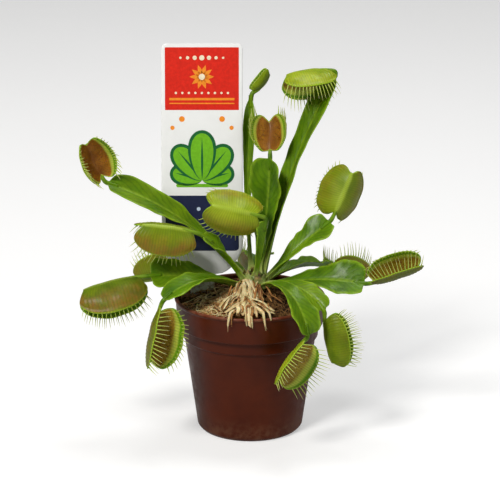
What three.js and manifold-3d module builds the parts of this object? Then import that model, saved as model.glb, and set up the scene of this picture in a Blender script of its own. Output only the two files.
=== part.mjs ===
// A young Venus flytrap in a small round plastic nursery pot, with its printed plant label.
//
// Millimetres, +Z up. The origin is the middle of the pot's underside, -Y is the front that the label
// faces. The pot holds a peat plug whose mossy top is mounded; the rhizome stands in a hole in the
// middle of the mound and carries a rosette of winged leaf stalks, each ending in a hinged trap with a
// fringe of bristles. A wad of dry straw-coloured moss lies on the front of the mound, and the label
// stands in a slit behind it.

import * as THREE from "three";
import { mergeVertices } from "three/addons/utils/BufferGeometryUtils.js";
import Module from "manifold-3d";

const wasm = await Module();
wasm.setup();

// ---------------------------------------------------------------- driving sizes

const POT = {
  height: 58,
  rimRadius: 32,
  bandHeight: 12, // the stiff collar under the rim
  baseRadius: 22.5,
  wall: 1.2,
  floor: 1.6,
  footLift: 1.2, // the underside is raised by this between the middle boss and the outer foot
  bossRadius: 5.5,
  drainHoles: 6,
  drainRadius: 2.6,
  drainCircle: 12.5,
  sides: 32,
};

const GAP = 0.3; // clearance between neighbouring solids
const LEAF_SINK = 0.8; // a leaf starts this far inside the crown's dome and is then trimmed clear of it

const MOUND = {
  edgeDrop: 2.6, // the mix stops this far below the rim
  rise: 6.6, // and is heaped up this much in the middle
};

const CROWN = { x: 1.5, y: 0, z: 62, radius: 6.5, depth: 14, sides: 16 };

const MOSS = {
  azimuth: -93, // it lies on the mound's front, between the crown and the rim
  spread: 15,
  drift: 28, // the widest turn of a strand along its length
  inner: 8.6,
  outer: 27.6,
  heap: 3.6, // how high it is banked up against the crown
  strands: 20,
  strandRadius: 0.5,
  overhang: 33.6, // the longest strands reach this far from the pot's axis
};

const LABEL = {
  width: 34.5,
  bodyHeight: 89, // printed card above the shoulders
  shoulder: 9,
  stakeWidth: 9,
  stake: 34, // from the shoulders' foot to the point
  thickness: 0.8,
  cornerRadius: 2.5,
  x: -20.3,
  y: 10,
  shoulderZ: 73.5, // height of the card's lower edge
  lean: 10, // degrees, backwards
};

// The wings are the leaf-like blade along each stalk: widest near the end, folded a little, waved at the
// edge.
const WINGS = {
  rows: 7,
  crowding: 1.35, // above 1 the rows are closer together towards the blade's blunt end
  widest: 0.84, // share of the length
  blunt: 2.1, // power by which they close beyond it, where more is squarer
  narrowest: 0.17, // width at the crown, as a share of the widest
  fold: 18, // degrees that each side is lifted
  ripple: 0.9,
  edge: 0.7, // thickness
  ribBase: 1.9,
  ribTip: 1.5,
  heart: 0.12, // how far the rounded ends of both sides reach past their middle, as a share of the width
  heartFrom: 0.78, // share of the length where they start to
  heartPeak: 0.93,
};

// The bare stretch of stalk between the wings and the trap.
const NECK = { length: 1.4, radius: 0.95, sides: 4, root: 3.5, drop: 0.2 };

const TRAP = {
  rows: 6,
  across: 3,
  crowding: 1.3, // radians of a sine that spaces the rows, closer at both ends
  reach: 0.98, // share of the half length where the sheet is cut off
  outline: 2.2, // 2 is an ellipse and more is squarer
  thickness: 0.9,
  hingeRib: 0.35,
  arch: 1.8, // the hinge bows this far away from the mouth
  swell: 0.7,
  tuck: 0.26, // share by which the lobes are drawn in lengthwise at the hinge, so that their ends are round
  tuckDepth: 0.45, // share of a lobe's depth over which they widen again, as a quarter of a sine
};

const BRISTLE = {
  perLobe: 6,
  length: 6,
  fullDepth: 11, // lobes less deep than this have shorter bristles
  smallestTrap: 8, // traps with a shorter half length are too young to have any
  radius: 0.38,
  sink: 0.65,
  sides: 3,
  fan: 0.55, // how far those at the ends lean outwards
};

// Each leaf has a stalk, the wings along it and a trap. The stalk springs from the crown at an azimuth
// (0 is +X, 90 is +Y) and a height on the dome, swings round by so many degrees along its length, and
// rises at the first angle where it leaves the crown and at the second where it ends. The wings have a
// full width, a roll about the stalk and a number of waves in their edge. The trap has the heading of
// its hinge, a roll about it, half its length, the depth of a lobe and a gape, where 0 is shut and 1
// wide open. Angles are in degrees.
const LEAVES = [
  {
    name: "leaf_front_hanging",
    stalk: { azimuth: -57, swing: 2, dome: 6, rise: [40, -76], length: 43 },
    wings: { width: 13.5, roll: -8, waves: 2.2 },
    trap: { azimuth: 197, rise: -54, roll: 236, half: 11.5, depth: 12.5, gape: 1 },
  },
  {
    name: "leaf_front_right",
    stalk: { azimuth: -31, swing: -12, dome: 20, rise: [22, -42], length: 33 },
    wings: { width: 10, roll: 24, waves: 1.6 },
    trap: { azimuth: -50, rise: -72, roll: -38, half: 12, depth: 11, gape: 0.1 },
  },
  {
    name: "leaf_right",
    stalk: { azimuth: -8, swing: -3, dome: 8, rise: [14, -6], length: 42 },
    wings: { width: 18, roll: 42, waves: 2.4 },
    trap: { azimuth: 2, rise: 18, roll: 38, half: 12.5, depth: 11.5, gape: 0.3 },
  },
  {
    name: "leaf_right_rising",
    stalk: { azimuth: 4, swing: 22, dome: 32, rise: [46, 32], length: 37 },
    wings: { width: 14, roll: 26, waves: 2 },
    trap: { azimuth: 34, rise: 62, roll: 242, half: 12, depth: 12.5, gape: 0.75 },
  },
  {
    name: "leaf_middle_arching",
    stalk: { azimuth: -70, swing: 30, dome: 60, rise: [68, 80], length: 28 },
    wings: { width: 7, roll: 0, waves: 1.2 },
    trap: { azimuth: 184, rise: 14, roll: 115, half: 13, depth: 11.5, gape: 0.9 },
  },
  {
    name: "leaf_back_upright",
    stalk: { azimuth: 58, swing: -14, dome: 54, rise: [70, 90], length: 50 },
    wings: { width: 18, roll: 0, waves: 2.4 },
    trap: { azimuth: 92, rise: 44, roll: -6, half: 9.5, depth: 10, gape: 0.8 },
  },
  {
    name: "leaf_left",
    stalk: { azimuth: 188, swing: 4, dome: 6, rise: [20, -2], length: 39 },
    wings: { width: 16, roll: -44, waves: 2.2 },
    trap: { azimuth: 190, rise: -12, roll: 212, half: 15.5, depth: 15.5, gape: 0.2 },
  },
  {
    name: "leaf_left_rising",
    stalk: { azimuth: 208, swing: -20, dome: 38, rise: [60, 38], length: 28 },
    wings: { width: 9, roll: -20, waves: 1.6 },
    trap: { azimuth: 188, rise: 10, roll: 150, half: 14, depth: 12, gape: 0.7 },
  },
  {
    name: "leaf_left_high",
    stalk: { azimuth: 168, swing: 10, dome: 44, rise: [50, 18], length: 71 },
    wings: { width: 14, roll: -40, waves: 2.2 },
    trap: { azimuth: 190, rise: 66, roll: -75, half: 10, depth: 10.5, gape: 0.7 },
  },
  {
    name: "leaf_front_left",
    stalk: { azimuth: 216, swing: -8, dome: 8, rise: [38, -36], length: 41 },
    wings: { width: 12, roll: -10, waves: 1.8 },
    trap: { azimuth: 210, rise: -76, roll: 262, half: 14, depth: 13.5, gape: 0.5 },
  },
  {
    name: "leaf_back_right_tall",
    stalk: { azimuth: 34, swing: 0, dome: 30, rise: [78, 54], length: 92 },
    wings: { width: 14, roll: 0, waves: 2 },
    trap: { azimuth: 196, rise: -4, roll: 214, half: 12, depth: 12.5, gape: 0.6 },
  },
  {
    name: "leaf_back_young",
    stalk: { azimuth: 104, swing: -30, dome: 52, rise: [66, 78], length: 76 },
    wings: { width: 5, roll: 0, waves: 1 },
    trap: { azimuth: 20, rise: 48, roll: 0, half: 6, depth: 4.6, gape: 0 },
  },
  {
    name: "leaf_back",
    stalk: { azimuth: 84, swing: 6, dome: 4, rise: [26, -30], length: 38 },
    wings: { width: 14, roll: 0, waves: 2.2 },
    trap: { azimuth: 100, rise: -40, roll: 0, half: 12.5, depth: 11.5, gape: 0.5 },
  },
  {
    name: "leaf_back_left",
    stalk: { azimuth: 114, swing: 44, dome: 10, rise: [24, -26], length: 38 },
    wings: { width: 13, roll: 8, waves: 2 },
    trap: { azimuth: 166, rise: -22, roll: 24, half: 12.5, depth: 11.5, gape: 0.35 },
  },
  {
    name: "leaf_back_right_low",
    stalk: { azimuth: 44, swing: -4, dome: 2, rise: [22, -22], length: 38 },
    wings: { width: 14, roll: -8, waves: 2.2 },
    trap: { azimuth: 40, rise: -30, roll: -20, half: 12, depth: 11.5, gape: 0.7 },
  },
];

// ---------------------------------------------------------------- small helpers

const rad = THREE.MathUtils.degToRad;
const mix = (a, b, t) => a + (b - a) * t;
const smooth = (t) => t * t * (3 - 2 * t);
const clamp01 = (t) => Math.min(1, Math.max(0, t));
const along = (point, ...pairs) => {
  const out = point.clone();
  for (let i = 0; i < pairs.length; i += 2) out.addScaledVector(pairs[i], pairs[i + 1]);
  return out;
};

// A unit vector with a compass azimuth (0 is +X, 90 is +Y) and a rise above the horizon, in degrees.
const heading = (azimuth, rise) =>
  new THREE.Vector3(
    Math.cos(rad(rise)) * Math.cos(rad(azimuth)),
    Math.cos(rad(rise)) * Math.sin(rad(azimuth)),
    Math.sin(rad(rise)),
  );

// The frame of something that runs along a heading: forward, up (square to it and as near +Z as it goes)
// and side, with up and side then turned about forward by roll degrees.
function frameOf(azimuth, rise, roll) {
  const forward = heading(azimuth, rise);
  const up = heading(azimuth, rise + 90);
  const side = new THREE.Vector3().crossVectors(forward, up);
  const c = Math.cos(rad(roll));
  const s = Math.sin(rad(roll));
  return {
    forward,
    up: along(new THREE.Vector3(), up, c, side, s),
    side: along(new THREE.Vector3(), side, c, up, -s),
  };
}

// A fixed sequence of numbers from 0 to 1, the same at each run.
function sequence(seed) {
  let state = seed >>> 0;
  return () => {
    state = (Math.imul(state, 1664525) + 1013904223) >>> 0;
    return state / 4294967296;
  };
}

// Triangles that close a ring of points by zigzag from its two ends towards its middle. On a thin
// section, whose second half runs back over its first, they stay within the section even where it is
// bent.
function zigzag(count) {
  const faces = [];
  let low = 0;
  let high = count - 1;
  while (high - low > 1) {
    faces.push([low, low + 1, high]);
    low += 1;
    if (high - low > 1) faces.push([low, high - 1, high]);
    high -= 1;
  }
  return faces;
}

// A closed solid through rings of equally many points. The quads of a ring's second half are split the
// other way, so that a thin blade is split alike on both faces.
function loft(rings) {
  const count = rings[0].length;
  const last = (rings.length - 1) * count;
  const faces = [];
  for (let start = 0; start < last; start += count) {
    for (let j = 0; j < count; j++) {
      const a = start + j;
      const b = start + ((j + 1) % count);
      if (j < count / 2) faces.push([a, b, b + count], [a, b + count, a + count]);
      else faces.push([a, b, a + count], [b, b + count, a + count]);
    }
  }
  for (const [a, b, c] of zigzag(count)) {
    faces.push([c, b, a], [last + a, last + b, last + c]);
  }
  const points = rings.flat().flatMap((point) => point.toArray());
  const geometry = new THREE.BufferGeometry();
  geometry.setAttribute("position", new THREE.Float32BufferAttribute(points, 3));
  geometry.setIndex(faces.flat());
  return geometry;
}

// A geometry as a solid that can be joined and cut, turned right side out.
function solid(geometry) {
  const bare = geometry.clone();
  bare.deleteAttribute("normal");
  bare.deleteAttribute("uv");
  const merged = mergeVertices(bare, 1e-4);
  const p = merged.attributes.position.array;
  const t = new Uint32Array(merged.index.array);
  const corner = (i) => new THREE.Vector3(p[3 * t[i]], p[3 * t[i] + 1], p[3 * t[i] + 2]);
  let volume = 0;
  for (let i = 0; i < t.length; i += 3) volume += corner(i).dot(corner(i + 1).cross(corner(i + 2)));
  if (volume < 0) for (let i = 0; i < t.length; i += 3) [t[i], t[i + 1]] = [t[i + 1], t[i]];
  return new wasm.Manifold(new wasm.Mesh({ numProp: 3, vertProperties: p, triVerts: t }));
}

// The largest connected body of a solid, so that a loose sliver left by a cut is dropped.
const wholeOf = (made) => made.decompose().sort((a, b) => b.volume() - a.volume())[0];

function geometryOf(made) {
  const mesh = made.getMesh();
  const geometry = new THREE.BufferGeometry();
  geometry.setAttribute("position", new THREE.BufferAttribute(new Float32Array(mesh.vertProperties), 3));
  geometry.setIndex(new THREE.BufferAttribute(new Uint32Array(mesh.triVerts), 1));
  geometry.computeVertexNormals();
  return geometry;
}

const finish = (color, roughness) =>
  new THREE.MeshStandardMaterial({ color, roughness, metalness: 0, flatShading: true });

function node(name, made, material) {
  const mesh = new THREE.Mesh(geometryOf(made), material);
  mesh.name = name;
  return mesh;
}

// A round rod of tapering radius through a few points, its rings carried along without twist.
function rod(points, radii, sides) {
  let across = null;
  const rings = points.map((point, i) => {
    const ahead = points[Math.min(i + 1, points.length - 1)];
    const behind = points[Math.max(i - 1, 0)];
    const forward = new THREE.Vector3().subVectors(ahead, behind).normalize();
    if (!across) {
      const helper = Math.abs(forward.z) < 0.8 ? new THREE.Vector3(0, 0, 1) : new THREE.Vector3(1, 0, 0);
      across = new THREE.Vector3().crossVectors(forward, helper);
    }
    across = along(across, forward, -across.dot(forward)).normalize();
    const other = new THREE.Vector3().crossVectors(forward, across);
    return Array.from({ length: sides }, (_, k) => {
      const turn = (2 * Math.PI * k) / sides;
      return along(point, across, radii[i] * Math.cos(turn), other, radii[i] * Math.sin(turn));
    });
  });
  return loft(rings);
}

// ---------------------------------------------------------------- pot

const bandFoot = POT.height - POT.bandHeight;
const bodyTop = POT.rimRadius - 3.2;
const floorTop = POT.footLift + POT.floor;

// The inside of the wall from the lip down to the floor, as radius and height.
const innerWall = [
  [POT.rimRadius - POT.wall - 0.3, POT.height - 0.6],
  [POT.rimRadius - POT.wall - 1.3, bandFoot + 1.2],
  [bodyTop - POT.wall, bandFoot - 0.8],
  [POT.baseRadius - POT.wall, floorTop + 0.8],
  [POT.baseRadius - POT.wall - 0.8, floorTop],
];

function makePot() {
  const r = POT.rimRadius;
  const foot = POT.baseRadius - 3.5;
  const underside = [
    [0, 0],
    [POT.bossRadius, 0],
    [POT.bossRadius + 0.8, POT.footLift],
    [foot - 0.8, POT.footLift],
    [foot, 0],
  ];
  const outside = [
    [POT.baseRadius - 1.2, 0],
    [POT.baseRadius, 1.4],
    [bodyTop - 0.9, bandFoot - 5.4],
    [bodyTop + 0.1, bandFoot - 4.9], // a second, narrower step under the collar
    [bodyTop + 0.3, bandFoot],
    [r - 1.1, bandFoot + 0.5],
    [r - 0.5, POT.height - 1.7],
    [r, POT.height - 1.2], // the rolled lip
    [r, POT.height - 0.3],
    [r - 0.4, POT.height],
    [innerWall[0][0] + 0.3, POT.height],
  ];
  const outline = [...underside, ...outside, ...innerWall, [0, floorTop]];
  const profile = outline.map(([x, y]) => new THREE.Vector2(x, y));
  const shell = new THREE.LatheGeometry(profile, POT.sides);
  shell.rotateX(Math.PI / 2);
  let made = solid(shell);
  for (let i = 0; i < POT.drainHoles; i++) {
    const hole = new THREE.CylinderGeometry(POT.drainRadius, POT.drainRadius, 4 * floorTop, 10);
    hole.rotateX(Math.PI / 2);
    const turn = (2 * Math.PI * (i + 0.5)) / POT.drainHoles;
    hole.translate(POT.drainCircle * Math.cos(turn), POT.drainCircle * Math.sin(turn), 0);
    made = made.subtract(solid(hole));
  }
  return made;
}

// ---------------------------------------------------------------- growing mix

const moundEdge = innerWall[0][0] - GAP - 0.25;

// Height of the mossy top at a place: a flat-topped heap that falls to the pot's wall, with low lumps.
function moundHeight(x, y) {
  const share = clamp01(Math.hypot(x, y) / moundEdge);
  const heap = MOUND.rise * (1 - smooth(share));
  const lumps = Math.sin(0.42 * x + 1.3) * Math.cos(0.37 * y - 0.4) + 0.6 * Math.sin(0.71 * (x + y));
  return POT.height - MOUND.edgeDrop + heap + 0.45 * lumps * (1 - share ** 4);
}

// It has as many sides as the pot, so that the gap between them is even.
function makeMix() {
  const circle = (radius, height) =>
    Array.from({ length: POT.sides }, (_, k) => {
      const turn = (2 * Math.PI * k) / POT.sides;
      const x = radius * Math.cos(turn);
      const y = radius * Math.sin(turn);
      return new THREE.Vector3(x, y, height ?? moundHeight(x, y));
    });
  const [, collar, step, wallFoot, floorEdge] = innerWall;
  const rings = [
    circle(floorEdge[0] * 0.5, floorTop + GAP),
    circle(floorEdge[0] - GAP / 2, floorTop + GAP),
    ...[wallFoot, step, collar].map(([radius, height]) => circle(radius - GAP, height + GAP / 3)),
    ...[1, 0.86, 0.7, 0.52, 0.34].map((share) => circle(share * moundEdge)),
  ];
  const cut = solid(loft(rings)).subtract(solid(crownShape(GAP)));
  return wholeOf(cut.subtract(solid(labelShape(GAP))));
}

// ---------------------------------------------------------------- crown

// The buried rhizome with its domed top, where the leaves spring from, or the same shape grown all round.
function crownShape(grow) {
  const radius = CROWN.radius + grow;
  const foot = CROWN.z - CROWN.depth - grow;
  const dome = [0, 22, 44, 66].map((lift) => [
    radius * Math.cos(rad(lift)),
    CROWN.z + radius * Math.sin(rad(lift)),
  ]);
  const root = [[0, foot], [radius * 0.6, foot], [radius * 0.9, foot + 5]];
  const profile = [...root, ...dome, [0, CROWN.z + radius]];
  const points = profile.map(([x, y]) => new THREE.Vector2(x, y));
  const shape = new THREE.LatheGeometry(points, CROWN.sides);
  shape.rotateX(Math.PI / 2);
  shape.translate(CROWN.x, CROWN.y, 0);
  return shape;
}

// ---------------------------------------------------------------- leaves

// How wide the wings are at a share of their length, as a share of their widest: they spread to an
// inverted heart.
function wingSpread(share) {
  const spread = mix(WINGS.narrowest, 1, smooth(clamp01(share / WINGS.widest)));
  const past = clamp01((share - WINGS.widest) / (1 - WINGS.widest));
  return spread * (1 - past ** WINGS.blunt);
}

const rowShare = (row) => 1 - (1 - row / WINGS.rows) ** WINGS.crowding;

// The midrib's line, and the wings' frame at each row along it.
function stalkRows(leaf) {
  const centre = new THREE.Vector3(CROWN.x, CROWN.y, CROWN.z);
  const { azimuth, swing, dome, rise, length } = leaf.stalk;
  const point = along(centre, heading(azimuth, dome), CROWN.radius - LEAF_SINK);
  const steer = (share) => [azimuth + swing * share, mix(rise[0], rise[1], share)];
  const rows = [];
  for (let i = 0; i <= WINGS.rows; i++) {
    const share = rowShare(i);
    const frame = frameOf(...steer(share), leaf.wings.roll * smooth(share));
    rows.push({ share, point: point.clone(), ...frame });
    const next = rowShare(i + 1);
    point.addScaledVector(heading(...steer((share + next) / 2)), length * (next - share));
  }
  return rows;
}

function makeWings({ width, waves }, rows) {
  const steps = [-1, -0.5, 0, 0.5, 1];
  const fold = rad(WINGS.fold);
  const rings = rows.map(({ share, point, forward, side, up }) => {
    const half = Math.max(width * 0.5 * wingSpread(share), NECK.radius);
    const wave = WINGS.ripple * smooth(clamp01(share * 1.6)) * (half / (width * 0.5));
    const rib = mix(WINGS.ribBase, WINGS.ribTip, share);
    const growing = clamp01((share - WINGS.heartFrom) / (WINGS.heartPeak - WINGS.heartFrom));
    const closing = clamp01((share - WINGS.heartPeak) / (1 - WINGS.heartPeak));
    const heart = WINGS.heart * width * smooth(growing) * (1 - smooth(closing));
    const place = (v, lift) => {
      const waved = wave * v * v * Math.sin(2 * Math.PI * waves * share + (v > 0 ? 0.4 : 2.2));
      const raised = Math.abs(v) * half * Math.sin(fold) + waved + lift;
      return along(point, side, v * half * Math.cos(fold), up, raised, forward, heart * v * v);
    };
    const thick = (v) => WINGS.edge + (rib - WINGS.edge) * (1 - Math.abs(v)) ** 2;
    return [
      ...steps.map((v) => place(v, WINGS.edge / 2)),
      ...steps.toReversed().map((v) => place(v, WINGS.edge / 2 - thick(v))),
    ];
  });
  return loft(rings);
}

// Where the trap sits: its frame, and its hinge line, which bows away from the mouth.
function trapPlace(leaf, rows) {
  const { azimuth, rise, roll, half } = leaf.trap;
  const frame = frameOf(azimuth, rise, roll);
  const last = rows.at(-1);
  const turn = along(last.forward, frame.forward, 1).normalize();
  const start = along(last.point, turn, NECK.length);
  const hinge = (u) => along(start, frame.forward, half * (1 + u), frame.up, -TRAP.arch * (1 - u * u));
  return { ...frame, start, hinge };
}

// How far a lobe leans out from the mouth's direction at the hinge, and how far it curls back, in
// radians.
const leanAtHinge = (gape) => rad(mix(50, 78, gape));
const curlOf = (gape) => rad(mix(88, 50, gape));

// One lobe's section is an arc that leaves the hinge at a wide angle and curls back over the mouth. u
// runs along the hinge from -1 to 1, and v across from one lobe's margin at -1 over the hinge at 0 to
// the other's at 1. Close to the hinge the sheet is drawn in lengthwise.
function lobePoint(leaf, place, u, v) {
  const { depth, gape } = leaf.trap;
  const open = leanAtHinge(gape);
  const curl = curlOf(gape);
  const length = depth * (1 - Math.abs(u) ** TRAP.outline) ** (1 / TRAP.outline);
  const reach = Math.abs(v);
  const out = (length / curl) * (Math.cos(open - curl * reach) - Math.cos(open)) + TRAP.swell * reach;
  const up = (length / curl) * (Math.sin(open) - Math.sin(open - curl * reach));
  const widened = Math.sin((Math.PI / 2) * clamp01((length * reach) / (TRAP.tuckDepth * depth)));
  const tuck = TRAP.tuck * (1 - widened);
  return along(place.hinge(u * (1 - tuck)), place.side, Math.sign(v) * out, place.up, up);
}

// Away from the mouth, square to the lobe's section.
function lobeOutward(leaf, place, v) {
  const lean = leanAtHinge(leaf.trap.gape) - curlOf(leaf.trap.gape) * Math.abs(v);
  if (v === 0) return place.up.clone().negate();
  return along(new THREE.Vector3(), place.side, Math.sign(v) * Math.cos(lean), place.up, -Math.sin(lean));
}

function makeTrap(leaf, place) {
  const us = Array.from({ length: TRAP.rows + 1 }, (_, i) => {
    const t = (2 * i) / TRAP.rows - 1;
    return (TRAP.reach * Math.sin(TRAP.crowding * t)) / Math.sin(TRAP.crowding);
  });
  const vs = Array.from({ length: 2 * TRAP.across + 1 }, (_, i) => i / TRAP.across - 1);
  const rings = us.map((u) => {
    const face = (v, lift) => along(lobePoint(leaf, place, u, v), lobeOutward(leaf, place, v), lift);
    const back = (v) => TRAP.thickness / 2 + (v === 0 ? TRAP.hingeRib : 0);
    const mouth = vs.map((v) => face(v, -TRAP.thickness / 2));
    return [...mouth, ...vs.toReversed().map((v) => face(v, back(v)))];
  });
  return loft(rings);
}

// The fringe: three-sided bristles that stand in the margin and lean over the mouth, fanned out at both
// ends.
function makeBristles(leaf, place) {
  const { gape, half, depth } = leaf.trap;
  if (half < BRISTLE.smallestTrap) return [];
  const margin = leanAtHinge(gape) - curlOf(gape);
  const size = BRISTLE.length * Math.min(1, depth / BRISTLE.fullDepth);
  const { perLobe, radius, sink, sides, fan } = BRISTLE;
  return [-1, 1].flatMap((lobe) =>
    Array.from({ length: perLobe }, (_, k) => {
      const u = -0.8 + (1.6 * (k + 0.5 + 0.22 * lobe)) / perLobe;
      const length = size * (0.75 + 0.25 * (1 - u * u));
      const lean = new THREE.Vector3()
        .addScaledVector(place.side, lobe * Math.sin(margin))
        .addScaledVector(place.up, Math.cos(margin))
        .addScaledVector(place.forward, fan * u)
        .normalize();
      const spike = new THREE.ConeGeometry(radius, length + sink, sides);
      spike.translate(0, (length - sink) / 2, 0);
      spike.applyQuaternion(new THREE.Quaternion().setFromUnitVectors(THREE.Object3D.DEFAULT_UP, lean));
      return spike.translate(...lobePoint(leaf, place, u, lobe).toArray());
    }),
  );
}

function makeLeaf(leaf) {
  const rows = stalkRows(leaf);
  const place = trapPlace(leaf, rows);
  const last = rows.at(-1);
  const neck = rod(
    [
      along(last.point, last.forward, -NECK.root, last.up, -NECK.drop),
      along(last.point, last.up, -NECK.drop),
      along(place.start, place.up, -NECK.drop / 2),
      along(place.hinge(-0.55), place.up, -NECK.drop),
    ],
    [0.8, 1, 0.95, 0.36].map((share) => share * NECK.radius),
    NECK.sides,
  );
  let made = solid(makeWings(leaf.wings, rows)).add(solid(neck)).add(solid(makeTrap(leaf, place)));
  for (const spike of makeBristles(leaf, place)) made = made.add(solid(spike));
  return wholeOf(made.subtract(solid(crownShape(GAP))));
}

// ---------------------------------------------------------------- dry moss

// Height of the matted moss at a place: it rides on the mound, is banked up against the crown and clears
// the lip.
function mossHeight(x, y) {
  const radius = Math.hypot(x, y);
  const bank = MOSS.heap * Math.exp(-(((radius - MOSS.inner) / 6.5) ** 2));
  const bed = moundHeight(x, y) + GAP + 0.35 + bank;
  const overLip = smooth(clamp01((radius - MOSS.outer + 0.6) / 2.4));
  return mix(bed, Math.max(bed, POT.height + GAP + MOSS.strandRadius), overLip);
}

const mossPoint = (radius, azimuth, lift) => {
  const x = radius * Math.cos(rad(azimuth));
  const y = radius * Math.sin(rad(azimuth));
  return new THREE.Vector3(x, y, mossHeight(x, y) + lift);
};

// The mat that the strands stand out of, thickest along its middle.
function mossMat() {
  const across = [-1, -0.5, 0, 0.5, 1];
  const rings = Array.from({ length: 5 }, (_, i) => {
    const share = i / 4;
    const radius = mix(MOSS.inner, MOSS.outer, share);
    const spread = MOSS.spread * (1 - 0.3 * Math.abs(2 * share - 0.9));
    const top = (v) => mossPoint(radius, MOSS.azimuth + v * spread, 0.6 + 0.7 * (1 - v * v));
    const under = (v) => {
      const point = mossPoint(radius, MOSS.azimuth + v * spread, 0);
      point.z = moundHeight(point.x, point.y) + GAP + 0.3;
      return point;
    };
    return [...across.map(top), ...across.toReversed().map(under)];
  });
  return loft(rings);
}

function makeMoss() {
  const random = sequence(11);
  let made = solid(mossMat());
  for (let k = 0; k < MOSS.strands; k++) {
    const share = (k + random()) / MOSS.strands;
    const radius = mix(MOSS.inner + 0.8, MOSS.outer - 4, share * share);
    const azimuth = MOSS.azimuth + (random() - 0.5) * 1.5 * MOSS.spread;
    const reach = Math.min(mix(9, 17, random()), MOSS.overhang - radius);
    const turn = (random() - 0.5) * MOSS.drift;
    const lift = mix(0.9, 2.6, random());
    const points = [0, 0.45, 1].map((t) =>
      mossPoint(radius + reach * t, azimuth + turn * t, 0.5 + 4 * lift * t * (1.1 - t)),
    );
    made = made.add(solid(rod(points, [0.9, 1.2, 0.5].map((r) => r * MOSS.strandRadius), 3)));
  }
  return wholeOf(made);
}

// ---------------------------------------------------------------- label

// The card with its shoulders and pointed stake, drawn in its own plane, stood up and leant back. It can
// be grown all round, to cut the slit that it stands in.
function labelShape(grow) {
  const w = LABEL.width / 2 + grow;
  const s = LABEL.stakeWidth / 2 + grow;
  const c = LABEL.cornerRadius;
  const top = LABEL.bodyHeight + grow;
  const point = -LABEL.shoulder - LABEL.stake - 2 * grow;
  const outline = new THREE.Shape();
  outline.moveTo(0, point);
  outline.lineTo(s, point + 8);
  outline.lineTo(s + 0.8, -LABEL.shoulder);
  outline.quadraticCurveTo(w, -LABEL.shoulder * 0.7, w, c);
  outline.lineTo(w, top - c);
  outline.absarc(w - c, top - c, c, 0, Math.PI / 2, false);
  outline.absarc(c - w, top - c, c, Math.PI / 2, Math.PI, false);
  outline.lineTo(-w, c);
  outline.quadraticCurveTo(-w, -LABEL.shoulder * 0.7, -s - 0.8, -LABEL.shoulder);
  outline.lineTo(-s, point + 8);
  outline.closePath();
  const depth = LABEL.thickness + 2 * grow;
  const card = new THREE.ExtrudeGeometry(outline, { depth, bevelEnabled: false, curveSegments: 5 });
  card.translate(0, 0, -depth / 2);
  card.rotateX(Math.PI / 2 - rad(LABEL.lean));
  card.translate(LABEL.x, LABEL.y, LABEL.shoulderZ);
  return card;
}

// ---------------------------------------------------------------- the potted plant

const terracotta = finish(0x4a1a0c, 0.42);
const peat = finish(0x5b3a1c, 0.95);
const leafGreen = finish(0x6f9c12, 0.4);
const crownGreen = finish(0xa9b35a, 0.55);
const straw = finish(0xd8b878, 0.85);
const card = finish(0xf4f5f2, 0.35);

const plant = new THREE.Group();
plant.add(node("pot", makePot(), terracotta));
plant.add(node("growing_mix", makeMix(), peat));
plant.add(node("crown", solid(crownShape(0)), crownGreen));
plant.add(node("dry_moss", makeMoss(), straw));
plant.add(node("plant_label", solid(labelShape(0)), card));
for (const leaf of LEAVES) plant.add(node(leaf.name, makeLeaf(leaf), leafGreen));

export default plant;
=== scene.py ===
# %% [markdown]
# # A potted Venus flytrap
# A small nursery pot of peat holds one Venus flytrap. Its leaves are flat winged stalks that spring from a
# pale rhizome, and each ends in a hinged trap with a fringe of long teeth. A wad of straw-coloured moss
# hangs over the front lip, and a printed card stands behind the plant.
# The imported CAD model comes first. It fixes where everything is, and each finer piece made here takes the
# place of one of its nodes.

# %% Load the frame
import math
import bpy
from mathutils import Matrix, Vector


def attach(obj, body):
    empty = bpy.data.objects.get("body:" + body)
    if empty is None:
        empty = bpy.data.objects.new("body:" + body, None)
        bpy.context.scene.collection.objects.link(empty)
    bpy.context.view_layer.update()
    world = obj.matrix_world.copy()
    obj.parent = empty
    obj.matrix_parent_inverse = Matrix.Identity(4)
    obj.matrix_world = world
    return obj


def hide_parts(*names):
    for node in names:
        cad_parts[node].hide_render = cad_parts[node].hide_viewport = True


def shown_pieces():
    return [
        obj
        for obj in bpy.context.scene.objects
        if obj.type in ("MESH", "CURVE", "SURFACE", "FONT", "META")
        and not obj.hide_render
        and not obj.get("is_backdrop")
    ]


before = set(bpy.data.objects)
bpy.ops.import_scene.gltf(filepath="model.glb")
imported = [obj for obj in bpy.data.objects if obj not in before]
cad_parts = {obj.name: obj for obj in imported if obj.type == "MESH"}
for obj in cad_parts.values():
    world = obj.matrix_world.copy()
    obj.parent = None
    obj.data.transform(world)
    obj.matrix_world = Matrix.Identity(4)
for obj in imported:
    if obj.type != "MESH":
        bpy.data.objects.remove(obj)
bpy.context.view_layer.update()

from types import SimpleNamespace

import bpy
import numpy as np

MM = 0.001
TURN = 2 * np.pi


# %% [markdown]
# ## From arrays to meshes
# Every piece is a surface worked out on a grid of two parameters. A grid could be typed in by hand or grown
# with modifiers, but an array of points keeps the sizes exact, and it is the same at each run. A few helpers
# knit a grid into faces, put points, faces and attributes into a mesh, and hang it on the frame.


# %% Grids and meshes
def ring_of(count, start=0.0):
    """That many angles evenly round a turn: TURN (k + start) / count."""
    return TURN * (np.arange(count) + start) / count


def knit(rows, columns):
    """Quads of a grid whose rows are closed rings: (i, j), (i, j+1), (i+1, j+1), (i+1, j)."""
    i, j = np.arange(rows - 1)[:, None] * columns, np.arange(columns)
    k = (j + 1) % columns
    return np.stack([i + j, i + k, i + columns + k, i + columns + j], -1).reshape(-1, 4)


def capped(rows, columns):
    """Faces of a closed skin through rings: the knitted quads, and one many-sided face over each end."""
    end = np.arange(columns)[None, :]
    return [knit(rows, columns), end[:, ::-1], (rows - 1) * columns + end]


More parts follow.
